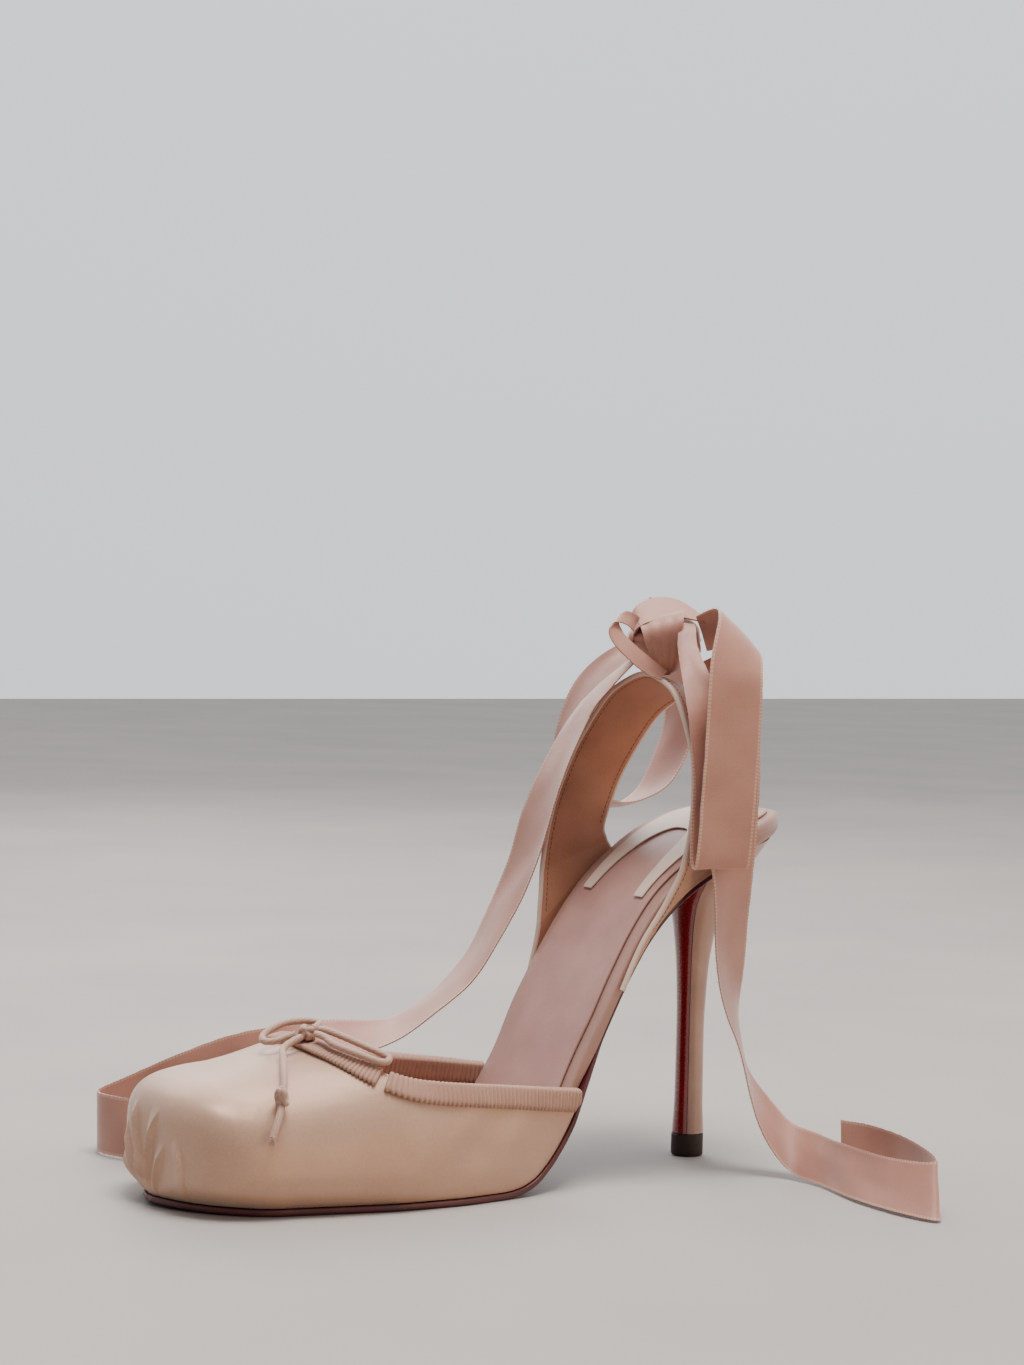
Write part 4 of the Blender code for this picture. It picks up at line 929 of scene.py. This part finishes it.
# Upper
def pleat_lines():
    out = []
    for row in PLEATS:
        line = []
        for i in range(PLEAT_STEPS + 1):
            t = i / PLEAT_STEPS
            a, b, c = (1.0 - t) * (1.0 - 2.0 * t), 4.0 * t * (1.0 - t), t * (2.0 * t - 1.0)
            line.append((HALF * (a * row["y0"] + b * row["y1"] + c * row["y2"]),
                         SEAT_RISE * (a * row["z0"] + b * row["z1"] + c * row["z2"])))
        out.append((np.array(line), row["deep"]))
    return out


PLEAT_LINES = pleat_lines()


def pleat_height(point):
    """Height of the toe's pleats over the plain last at a point of its outside."""
    here = np.array((point[1], point[2]))
    depth = max(0.0, point[0] - (TOE_ROUND["start"] - TOE_ROUND["run"]))
    front = max(0.0, 1.0 - depth / (0.45 * TOE_ROUND["run"]))
    total = 0.0
    for line, deep in PLEAT_LINES:
        step = np.diff(line, axis=0)
        size = np.einsum("ij,ij->i", step, step)
        t = np.clip(np.einsum("ij,ij->i", here - line[:-1], step) / size, 0.0, 1.0)
        off = here - (line[:-1] + step * t[:, None])
        far = np.hypot(off[:, 0], off[:, 1])
        k = int(np.argmin(far))
        if far[k] > PLEAT_SOFT:
            continue
        near_side = step[k, 0] * off[k, 1] - step[k, 1] * off[k, 0] > 0.0
        reach = PLEAT_STEEP if near_side else PLEAT_SOFT
        along = (k + t[k]) / PLEAT_STEPS
        ends = min(1.0, along / 0.08, (1.0 - along) / 0.22)
        total += deep * max(0.0, ends) * max(0.0, 1.0 - far[k] / reach) ** 1.3
    fan = math.exp(-(point[1] / (0.55 * HALF)) ** 2 - (point[2] / (0.33 * SEAT_RISE)) ** 4)
    return (total - 0.0015 * fan) * front ** 0.5


def crease_frames():
    """Each crease with its centre on the outside, the direction of its run and that across."""
    out = []
    for row in CREASES:
        x, rise = at(row["along"]), row["arch"] * math.pi
        here = side_arch(x, rise, 0.0)
        du = side_arch(x + 1e-3, rise, 0.0) - here
        dv = side_arch(x, rise + 0.02, 0.0) - here
        du, dv = unit_vector(du), unit_vector(dv)
        turn = math.radians(row["turn"])
        out.append((row, here, du * math.cos(turn) + dv * math.sin(turn),
                    -du * math.sin(turn) + dv * math.cos(turn)))
    return out


CREASE_FRAMES = crease_frames()


def crease_height(point):
    total = 0.0
    for row, centre, run, side in CREASE_FRAMES:
        a = (point - centre).dot(run) / row["reach"]
        b = (point - centre).dot(side) / row["width"]
        if abs(a) < 2.0 and abs(b) < 2.5:
            total += row["high"] * math.exp(-a * a - b * b)
    return total


def surface_height(point):
    """All that lifts the satin over the plain last: its swells, pleats and creases."""
    height = 0.00022 * swell(point, 0.017, 3.0) + 0.00006 * swell(point, 0.006, 9.0)
    if point[0] < at(0.25):
        height += pleat_height(point)
    return height + crease_height(point)


def upper_columns():
    """Stations of the near half with their arch angle at the topline, from the back to the toe."""
    columns = []
    for i in range(SIDE_COLUMNS):
        x = QUARTER_END + (THROAT["start"] - QUARTER_END) * i / SIDE_COLUMNS
        columns.append(((x, 0.0), topline(TOPLINE_SPLIT * i / SIDE_COLUMNS)[1]))
    for i in range(THROAT_COLUMNS):
        turn = math.sin(0.5 * math.pi * i / THROAT_COLUMNS)
        x, rise = topline(TOPLINE_SPLIT + (0.5 - TOPLINE_SPLIT) * turn)
        columns.append(((x, 0.0), rise))
    for i in range(FRONT_COLUMNS):
        x = THROAT["front"] + (TOE_ROUND["start"] - THROAT["front"]) * i / FRONT_COLUMNS
        columns.append(((x, 0.0), 0.5 * math.pi))
    for i in range(TOE_COLUMNS + 1):
        foot = 0.5 * math.pi * i / TOE_COLUMNS
        columns.append(((TOE_ROUND["start"], foot), 0.5 * math.pi))
    return columns


def build_upper():
    columns = upper_columns()
    grids = []
    for inset in (0.0, WALL):
        grid = []
        for near in (True, False):
            part = columns if near else columns[-2::-1]
            for station, stop in part:
                line = [spoke(station, near, -1.0 + i / UNDER_ROWS, inset)
                        for i in range(UNDER_ROWS)]
                line += [spoke(station, near, stop * i / ARCH_ROWS, inset)
                         for i in range(ARCH_ROWS + 1)]
                grid.append(line)
        grids.append(np.array(grid))
    outer, inner = grids
    normal = grid_normals(outer)
    middle = np.array((at(0.3), 0.0, 0.3 * SEAT_RISE))
    flip = np.sign(np.einsum("ijk,ijk->ij", normal, outer - middle))
    normal *= flip[:, :, None]
    lift = np.zeros(outer.shape[:2])
    for j in range(outer.shape[0]):
        for i in range(outer.shape[1]):
            lift[j, i] = surface_height(outer[j, i]) * min(1.0, i / 6.0)
    shown = outer + normal * lift[:, :, None]
    cols, rows = outer.shape[:2]
    points = np.concatenate((shown.reshape(-1, 3), inner.reshape(-1, 3)))
    base = cols * rows
    open_columns = SIDE_COLUMNS + THROAT_COLUMNS
    faces, inside = [], []
    for j in range(cols - 1):
        for i in range(rows - 1):
            a = j * rows + i
            faces.append((a, a + rows, a + rows + 1, a + 1))
            inside.append(len(faces))
            faces.append((base + a, base + a + 1, base + a + rows + 1, base + a + rows))
        a = j * rows
        faces.append((a, base + a, base + a + rows, a + rows))
        if j < open_columns or j > cols - open_columns - 2:
            a = j * rows + rows - 1
            faces.append((a, a + rows, base + a + rows, base + a))
    for j in (0, cols - 1):
        for i in range(rows - 1):
            a = j * rows + i
            faces.append((a, a + 1, base + a + 1, base + a))
    obj = mesh_object("shown_upper", points, faces, SATIN, None, 50.0, (LINING, inside))
    work = bmesh.new()
    work.from_mesh(obj.data)
    bmesh.ops.remove_doubles(work, verts=work.verts, dist=WELD)
    bmesh.ops.recalc_face_normals(work, faces=work.faces)
    work.to_mesh(obj.data)
    work.free()
    obj.data.shade_smooth()
    obj.data.set_sharp_from_angle(angle=math.radians(50.0))
    dress(obj, "satin", "upper")


def build_tape(name, start, stop):
    """Ribbed tape folded over the topline, with its lower edges scalloped by the ribs."""
    line = [side_arch(*topline(start + (stop - start) * i / 200.0), 0.5 * WALL)
            for i in range(201)]
    run = run_along(line)
    per_rib = 6
    pitch = RIB_FRONT if "throat" in name else RIB_REAR
    ribs = max(4, int(round(run[-1] / pitch)))
    count = ribs * per_rib
    rings = []
    for i in range(count + 1):
        share = np.interp(run[-1] * i / count, run, np.linspace(0.0, 1.0, 201))
        turn = start + (stop - start) * share
        x, rise = topline(turn)
        before = side_arch(*topline(max(turn - 0.004, 0.0)), 0.5 * WALL)
        after = side_arch(*topline(min(turn + 0.004, 1.0)), 0.5 * WALL)
        tangent = unit_vector(after - before)
        here, normal, du, dv = surface(x, rise)
        down = np.cross(normal, tangent)
        if down.dot(np.array((-0.3, 0.0, -1.0))) < 0.0:
            down = -down
        crest = down
        wave = abs(math.sin(math.pi * i / per_rib))
        free = here[2] - foot_height(x) - 0.0006
        leg = min(TAPE_LEG, free) if abs(turn - 0.5) > 0.2 else TAPE_LEG
        leg *= 1.0 - 0.09 * (1.0 - wave)
        stops = [(here, normal)]
        u, v = x, rise
        steps = 6
        for _ in range(steps):
            axes = np.stack((du, dv), axis=1)
            move = np.linalg.lstsq(axes, down * leg / steps, rcond=None)[0]
            u += move[0]
            v += move[1]
            point, normal_low, du, dv = surface(u, v)
            down = unit_vector(down - normal_low * down.dot(normal_low))
            stops.append((point, normal_low))
        close = 0.5 * WALL + TAPE_GAP
        swelling = RIB_DEEP * (wave - 0.45)
        set_off = close + TAPE_T + swelling
        ring = [p + n * close for p, n in stops[::-1]]
        ring += [p - n * close for p, n in stops]
        outer = [p - n * (set_off - (0.0003 if k == 0 else 0.0))
                 for k, (p, n) in enumerate(stops[::-1])][:-1]
        for k in range(9):
            a = math.pi * k / 8.0
            outer.append(here - crest * (GAP + TAPE_T + swelling) * math.sin(a)
                         - normal * set_off * math.cos(a))
        outer += [p + n * (set_off - (0.0003 if k == steps - 1 else 0.0))
                  for k, (p, n) in enumerate(stops[1:])]
        rings.append(ring + outer)
    points, faces = tube_mesh(rings)
    obj = mesh_object("shown_" + name, points, faces, GROSGRAIN, smooth=70.0)
    dress(obj, "grosgrain", name)


# Heel
def build_heel():
    columns = by_row(HEEL)
    rise = columns["rise"]
    last = len(HEEL) - 1
    seat_x = HEEL_X + HALF * columns["centre"](last)
    seat_z = layer_height(seat_x, OUTSOLE_T)

    def ring(k, angles, cut):
        x0 = HEEL_X + HALF * columns["centre"](k)
        share = max(0.0, (rise(k) - HEEL[0]["rise"]) / (HEEL[last]["rise"] - HEEL[0]["rise"]))
        level = TOPLIFT_H + GAP
        level += share * (seat_z - level)
        out = []
        for angle in angles:
            reach = columns["back"](k) if math.cos(angle) > 0.0 else columns["front"](k)
            power = 2.0 + 0.3 * share ** 3
            u, v = unit(angle, power)
            x = x0 + HALF * reach * u + cut
            y = math.copysign(HALF * columns["side"](k) * v, math.sin(angle))
            slope = layer_height(x, OUTSOLE_T) - seat_z
            out.append((x, y, level + columns["tilt"](k) * slope))
        return out

    steps = [last * i / 64.0 for i in range(65)]
    front = [math.pi - BREAST_ANGLE + 2.0 * BREAST_ANGLE * i / 24 for i in range(25)]
    back = [BREAST_ANGLE - math.pi + 2.0 * (math.pi - BREAST_ANGLE) * i / 48 for i in range(49)]
    points, faces = tube_mesh([ring(k, front, -0.5 * GAP) for k in steps])
    obj = mesh_object("shown_heel_breast", points, faces, LACQUER, smooth=45.0)
    dress(obj, "lacquer", "heel_breast")
    points, faces = tube_mesh([ring(k, back, 0.5 * GAP) for k in steps])
    obj = mesh_object("shown_heel", points, faces, HEEL_SKIN, smooth=45.0)
    dress(obj, "heel_cover", "heel")
    rings = []
    for z, grow in ((0.0, -0.0004), (0.0001, -0.0002), (0.0004, 0.0), (TOPLIFT_H - 0.0002, 0.0),
                    (TOPLIFT_H, -0.0002)):
        radius = TOPLIFT_R + grow
        rings.append([(HEEL_X + radius * math.cos(a), radius * math.sin(a), z)
                      for a in [math.pi * i / 32 for i in range(64)]])
    points, faces = tube_mesh(rings)
    obj = mesh_object("shown_toplift", points, faces, RUBBER, smooth=40.0)
    dress(obj, "tip_rubber", "toplift")


# Ankle strap
def strap_grid(rows_count, cols_count):
    value = by_row(STRAP_TABLE)
    last = len(STRAP_TABLE) - 1
    grid = []
    for j in range(rows_count + 1):
        k = last * j / rows_count
        line = []
        for i in range(cols_count + 1):
            t = i / cols_count
            x = LENGTH * (value["fx"](k) * (1.0 - t) + value["rx"](k) * t)
            z = SEAT_RISE * (value["fz"](k) * (1.0 - t) + value["rz"](k) * t)
            ends = [LENGTH * value["fx"](k), LENGTH * value["rx"](k)]
            bow = bottom(x) - bottom(ends[0]) * (1.0 - t) - bottom(ends[1]) * t
            z += bow * max(0.0, 1.0 - min(k, last - k) / 3.0)
            out = HALF * (value["fo"](k) * (1.0 - t) + value["ro"](k) * t)
            root = max(0.0, 1.0 - min(k, last - k) / 2.6)
            side = -1.0 if k < 0.5 * last else 1.0
            edge = half_width(x, board_inset(x)) + GAP + 0.5 * STRAP_T + 0.0002
            hug = shift(x) + side * edge
            blend = min(1.0, 2.0 * root)
            line.append((x, out * (1.0 - blend) + hug * blend, z))
        grid.append(line)
    return np.array(grid)


def round_tube(line, radius, sides, braid=0.0, strands=3, turns=0.0):
    """Rings along a line of points, with a braid's strands if it has any."""
    line = np.asarray(line, float)
    tangent = np.gradient(line, axis=0)
    tangent /= np.linalg.norm(tangent, axis=1, keepdims=True)
    side = np.cross(tangent[0], (0.0, 0.0, 1.0))
    if np.linalg.norm(side) < 0.1:
        side = np.cross(tangent[0], (1.0, 0.0, 0.0))
    rings, run = [], 0.0
    for j, p in enumerate(line):
        if j:
            run += np.linalg.norm(p - line[j - 1])
        side = unit_vector(side - tangent[j] * side.dot(tangent[j]))
        other = np.cross(tangent[j], side)
        ring = []
        for i in range(sides):
            a = 2.0 * math.pi * i / sides
            r = radius
            if braid:
                r *= 1.0 - braid + braid * abs(math.cos(0.5 * strands * a + turns * run))
            ring.append(p + r * (side * math.cos(a) + other * math.sin(a)))
        rings.append(ring)
    return rings


def join_meshes(name, parts, material, smooth=60.0):
    points, faces = [], []
    for some, more in parts:
        base = len(points)
        points += list(some)
        faces += [tuple(base + i for i in f) for f in more]
    return mesh_object(name, points, faces, material, smooth=smooth)


def build_strap():
    rows, cols = 200, 28
    grid = strap_grid(rows, cols)
    obj = sheet_mesh("shown_ankle_strap", grid, STRAP_T, STRAP_IN, None, STRAP, 60.0)
    dress(obj, "strap_satin", "ankle_strap")
    parts = []
    for i in (0, cols):
        parts.append(tube_mesh(round_tube(grid[:, i], PIPING_R, 12)))
    piping = join_meshes("strap_edge_piping", parts, PIPING)
    normal = grid_normals(grid)
    parts = []
    for edge in (0, cols):
        step = 1 if edge == 0 else -1
        inner = grid[:, edge + 2 * step]
        run = run_along(inner)
        face_way = normal[:, edge + 2 * step]
        for k in range(int(run[-1] / STITCH_PITCH)):
            start = k * STITCH_PITCH
            if start < 0.014 or start > run[-1] - 0.014:
                continue
            spots = [start + STITCH_LONG * m / 3.0 for m in range(4)]
            for face in (1.0, -1.0):
                face_line = inner + 0.5 * face * STRAP_T * face_way
                line = [np.array([np.interp(s, run, face_line[:, c]) for c in range(3)])
                        for s in spots]
                parts.append(tube_mesh(round_tube(line, THREAD_R, 6)))
    stitches = join_meshes("strap_stitches", parts, THREAD)


# Ribbons and drawstring
def route(rows, rise):
    size = np.array((RIBBON_W, RIBBON_W, rise))
    return np.array([[r["x"], r["y"], r["z"]] for r in rows]) * size + np.array(KNOT)


def ribbon_grid(rows, count, rise, across_count=20, seed=0.0, cup=0.0006, wave=0.0005):
    points = route(rows, rise)
    across = []
    for r in rows:
        turn, lean = math.radians(r["turn"]), math.radians(r["lean"])
        across.append((math.cos(turn) * math.cos(lean), math.sin(turn) * math.cos(lean),
                       math.sin(lean)))
    across = np.array(across)
    width = np.array([r.get("wide", 1.0) for r in rows]) * RIBBON_W
    fold = np.array([r.get("fold", 0.0) for r in rows])
    centre, side, wides, folds = [], [], [], []
    for ends, w in smooth_row(count, len(rows)):
        centre.append(w @ points[ends])
        d = w @ across[ends]
        side.append(unit_vector(d))
        wides.append(w @ width[ends])
        folds.append(max(0.0, w @ fold[ends]))
    centre, side = np.array(centre), np.array(side)
    run = run_along(centre)
    tangent = np.gradient(centre, axis=0)
    normal = np.cross(tangent, side)
    normal /= np.linalg.norm(normal, axis=1, keepdims=True)
    grid = np.zeros((count + 1, across_count + 1, 3))
    uv = np.zeros((count + 1, across_count + 1, 2))
    for j in range(count + 1):
        for i in range(across_count + 1):
            s = -1.0 + 2.0 * i / across_count
            picot = 0.00016 * math.sin(2.0 * math.pi * run[j] / 0.0011) if abs(s) == 1.0 else 0.0
            off = cup * (1.0 - s * s) * math.sin(run[j] / 0.017 + seed)
            off += wave * noise.noise(Vector((run[j] / 0.014 + seed, s * 0.9, seed)))
            off += folds[j] * math.cos(3.2 * math.pi * (s + 0.15 * math.sin(j * 0.05)))
            half = 0.5 * wides[j] * s + math.copysign(picot, s)
            grid[j, i] = centre[j] + side[j] * half + normal[j] * off
            uv[j, i] = (1000.0 * (0.5 * RIBBON_W + half), 1000.0 * run[j] + 50.0 * seed)
    return grid, uv, centre, float(run[-1])


def build_ribbon(name, rows, count, rise, seed, cup=0.0006, wave=0.0005):
    grid, uv, centre, length = ribbon_grid(rows, count, rise, 20, seed, cup, wave)
    low = grid[:, :, 2].min(axis=1)
    lift = np.maximum(0.0, 0.5 * RIBBON_SHOWN + 0.0001 - low)
    grid[:, :, 2] += lift[:, None]
    obj = sheet_mesh("shown_" + name, grid, RIBBON_SHOWN, RIBBON, uv, None, 75.0)
    dress(obj, "ribbon", name)
    return obj, centre, length


def build_knot():
    rings = []
    for j in range(1, 48):
        lat = math.pi * j / 48
        ring = []
        for i in range(72):
            lon = 2.0 * math.pi * i / 72
            d = np.array((math.cos(lat), math.sin(lat) * math.cos(lon),
                          math.sin(lat) * math.sin(lon)))
            crease = 0.97 + 0.03 * math.sin(5.0 * lon + 3.0 * lat) + 0.03 * math.sin(9.0 * lat)
            ring.append(np.array(KNOT_BODY) + d * np.array(KNOT_SIZE) * crease)
        rings.append(ring)
    points, faces = tube_mesh(rings)
    core = mesh_object("shown_ribbon_knot", points, faces, RIBBON,
                       [(9.0 + 5.0 * math.sin(p[0] * 400.0), 1000.0 * p[2]) for p in points], 70.0)
    dress(core, "ribbon", "ribbon_knot")
    bands = [core]
    for name, rows, across_count, seed, nodes in (
            ("knot_wrap_tip", WRAP_TIP, 26, 2.0, ()), ("knot_wrap_top", WRAP_TOP, 26, 5.0, ()),
            ("knot_wrap_front", WRAP_FRONT, 26, 8.0, ()),
            ("shown_ribbon_fold", WRAP_CURL, 20, 1.5, ("ribbon_fold",))):
        grid, uv = ribbon_grid(rows, 60, RIBBON_W, across_count, seed, 0.0003, 0.0002)[:2]
        obj = sheet_mesh(name, grid, RIBBON_SHOWN, RIBBON, uv, None, 75.0)
        bands.append(dress(obj, "ribbon", *nodes))
    return bands


def cord_line(rows, count):
    points = np.array([[r["x"], r["y"], r["z"]] for r in rows]) * CORD_SPAN + np.array(BOW)
    return np.array([w @ points[ends] for ends, w in smooth_row(count, len(rows))])


def length_of(line):
    return float(np.linalg.norm(np.diff(line, axis=0), axis=1).sum())


def build_cord(name, rows, count, nodes):
    line = cord_line(rows, count)
    points, faces = tube_mesh(round_tube(line, CORD_R, 24, 0.16, 6, 1500.0))
    obj = mesh_object("shown_" + name, points, faces, CORD, smooth=80.0)
    dress(obj, "cord", *nodes)
    return obj, line, length_of(line)


def build_lump(name, centre, size, turns):
    """Pulled knot of the round cord: a cord wound over itself."""
    line = []
    for i in range(161):
        a = 2.0 * math.pi * turns * i / 160
        b = math.pi * i / 160
        reach = 1.0 - 0.35 * math.cos(3.0 * a)
        line.append(np.array(centre) + np.array((
            (size[0] - 0.5 * CORD_R) * math.cos(a) * math.sin(b + 0.35) * 0.9,
            (size[1] - 0.5 * CORD_R) * math.sin(a) * reach * 0.75,
            (size[2] - 0.5 * CORD_R) * math.cos(1.5 * a + b) * 0.8)))
    points, faces = tube_mesh(round_tube(np.array(line), 0.85 * CORD_R, 16, 0.16, 6, 1500.0))
    obj = mesh_object("shown_" + name, points, faces, CORD, smooth=80.0)
    dress(obj, "cord", name)
    return obj


def build_frayed(end, direction):
    """Loose threads at the drawstring's cut end."""
    parts = []
    direction = unit_vector(direction)
    side = unit_vector(np.cross(direction, (0.0, 0.0, 1.0)))
    other = np.cross(direction, side)
    for i in range(22):
        a = 2.4 * i
        r = CORD_R * math.sqrt((i + 0.5) / 22.0)
        base = end + r * (side * math.cos(a) + other * math.sin(a)) - direction * 0.0006
        reach = 0.0020 + 0.0012 * math.sin(7.1 * i)
        tip = base + direction * reach + (side * math.cos(a) + other * math.sin(a)) * 0.0006
        bend = 0.5 * (base + tip) + side * 0.0002 * math.sin(3.0 * i)
        parts.append(tube_mesh(round_tube([base, bend, tip], 0.00009, 5)))
    obj = join_meshes("drawstring_threads", parts, CORD)
    return obj


# Camera
def aim(location, azimuth, elevation, roll, lens):
    """Camera turned azimuth degrees from the length, raised and rolled by the others."""
    az, el, ro = (math.radians(v) for v in (azimuth, elevation, roll))
    back = Vector((-math.sin(az) * math.cos(el), -math.cos(az) * math.cos(el), math.sin(el)))
    right = Vector((math.cos(az), -math.sin(az), 0.0))
    up = back.cross(right)
    right, up = (math.cos(ro) * right + math.sin(ro) * up,
                 -math.sin(ro) * right + math.cos(ro) * up)
    data = bpy.data.cameras.new("camera")
    data.lens = lens
    data.sensor_width = 36.0
    data.sensor_fit = "AUTO"
    data.clip_start = 0.01
    camera = bpy.data.objects.new("camera", data)
    bpy.context.scene.collection.objects.link(camera)
    turn = Matrix((right, up, back)).transposed()
    camera.matrix_world = Matrix.Translation(location) @ turn.to_4x4()
    bpy.context.scene.camera = camera


aim(location=(-0.431, -0.761, 0.179), azimuth=32.2, elevation=2.0, roll=1.45, lens=79.25)


def build_cords():
    knot = build_knot()
    for name, rows, count, rise, seed, far_end in (
            ("ribbon_loop_near", LOOP_NEAR, 240, RIBBON_W, 0.4, "object"),
            ("ribbon_loop_far", LOOP_FAR, 240, RIBBON_W, 2.1, "object"),
            ("ribbon_tail_front", TAIL_FRONT, 320, KNOT[2], 3.7, "bare"),
            ("ribbon_tail_rear", TAIL_REAR, 360, KNOT[2], 5.2, "bare")):
        obj, centre, length = build_ribbon(name, rows, count, rise, seed)
    bow = build_lump("bow_knot", BOW, BOW_SIZE, 3.0)
    left, line, length = build_cord("drawstring_bow_left", BOW_LEFT, 150, ["drawstring_bow_left"])
    right, line, length = build_cord("drawstring_bow_right", BOW_RIGHT, 150,
                                     ["drawstring_bow_right"])
    stop = build_lump("drawstring_stop", STOP, STOP_SIZE, 2.0)
    end, line, length = build_cord("drawstring_end", END + TIP, 130,
                                   ["drawstring_end", "drawstring_tip"])
    threads = build_frayed(line[-1], line[-1] - line[-6])


# Stage: the floor is square, a little under the sole, and its half side is FLOOR_REACH
FLOOR_REACH = 3.0
FLOOR_DROP = 0.0002
LAMPS = table("name place aim_at size power colour",
    ("key", (0.10, -0.12, 1.45), (0.0, 0.0, 0.05), 0.6, 30.0, (1.0, 0.98, 0.95)),
    ("fill", (0.6, -1.3, 0.5), (0.0, 0.0, 0.06), 0.8, 1.2, (1.0, 0.95, 0.90)),
    ("low", (0.45, -0.9, 0.04), (0.0, 0.0, 0.03), 0.25, 2.4, (1.0, 0.66, 0.34)),
    ("back", (0.3, 1.1, 0.8), (0.05, 0.0, 0.08), 0.8, 8.0, (0.98, 0.99, 1.0)))


def build_stage():
    mesh = bpy.data.meshes.new("floor")
    corners = ((-1, -1), (1, -1), (1, 1), (-1, 1))
    mesh.from_pydata([(FLOOR_REACH * x, FLOOR_REACH * y, 0.0) for x, y in corners], [],
                     [(0, 1, 2, 3)])
    floor = bpy.data.objects.new("floor", mesh)
    floor.location.z = -FLOOR_DROP
    bpy.context.scene.collection.objects.link(floor)
    material, nodes, links, shader = tree_of("floor_pale")
    grain = nodes.new("ShaderNodeTexNoise")
    grain.inputs["Scale"].default_value = 40.0
    mix = ramp(nodes, [(0.3, linear((158, 151, 146))), (0.7, linear((168, 160, 154)))])
    links.new(grain.outputs[0], mix.inputs[0])
    links.new(mix.outputs[0], shader.inputs["Base Color"])
    shader.inputs["Roughness"].default_value = 0.7
    mesh.materials.append(material)
    world = bpy.data.worlds.new("studio")
    bpy.context.scene.world = world
    world.use_nodes = True
    shade = world.node_tree.nodes["Background"]
    shade.inputs[0].default_value = (0.88, 0.90, 0.93, 1.0)
    sky = world.node_tree.nodes.new("ShaderNodeTexCoord")
    facing = world.node_tree.nodes.new("ShaderNodeVectorMath")
    facing.operation = "DOT_PRODUCT"
    facing.inputs[1].default_value = (0.50, 0.62, 0.60)
    world.node_tree.links.new(sky.outputs["Generated"], facing.inputs[0])
    glow = maths(world.node_tree.nodes, world.node_tree.links, "MULTIPLY_ADD",
                 facing.outputs["Value"], 0.75, 0.66)
    world.node_tree.links.new(glow, shade.inputs[1])

    def lamp(name, place, aim_at, size, power, colour):
        data = bpy.data.lights.new(name, "AREA")
        data.shape = "SQUARE"
        data.size = size
        data.energy = power
        data.color = colour
        obj = bpy.data.objects.new(name, data)
        obj.location = place
        look = Vector(aim_at) - Vector(place)
        obj.rotation_euler = look.to_track_quat("-Z", "Y").to_euler()
        bpy.context.scene.collection.objects.link(obj)

    for row in LAMPS:
        lamp(**row)


build_cords()
build_upper()
for tape, first, final in (("binding_near", 0.0, 0.345), ("binding_throat", 0.355, 0.645),
                           ("binding_far", 0.655, 1.0)):
    build_tape(tape, first, final)
build_sole()
build_heel()
build_strap()
build_stage()
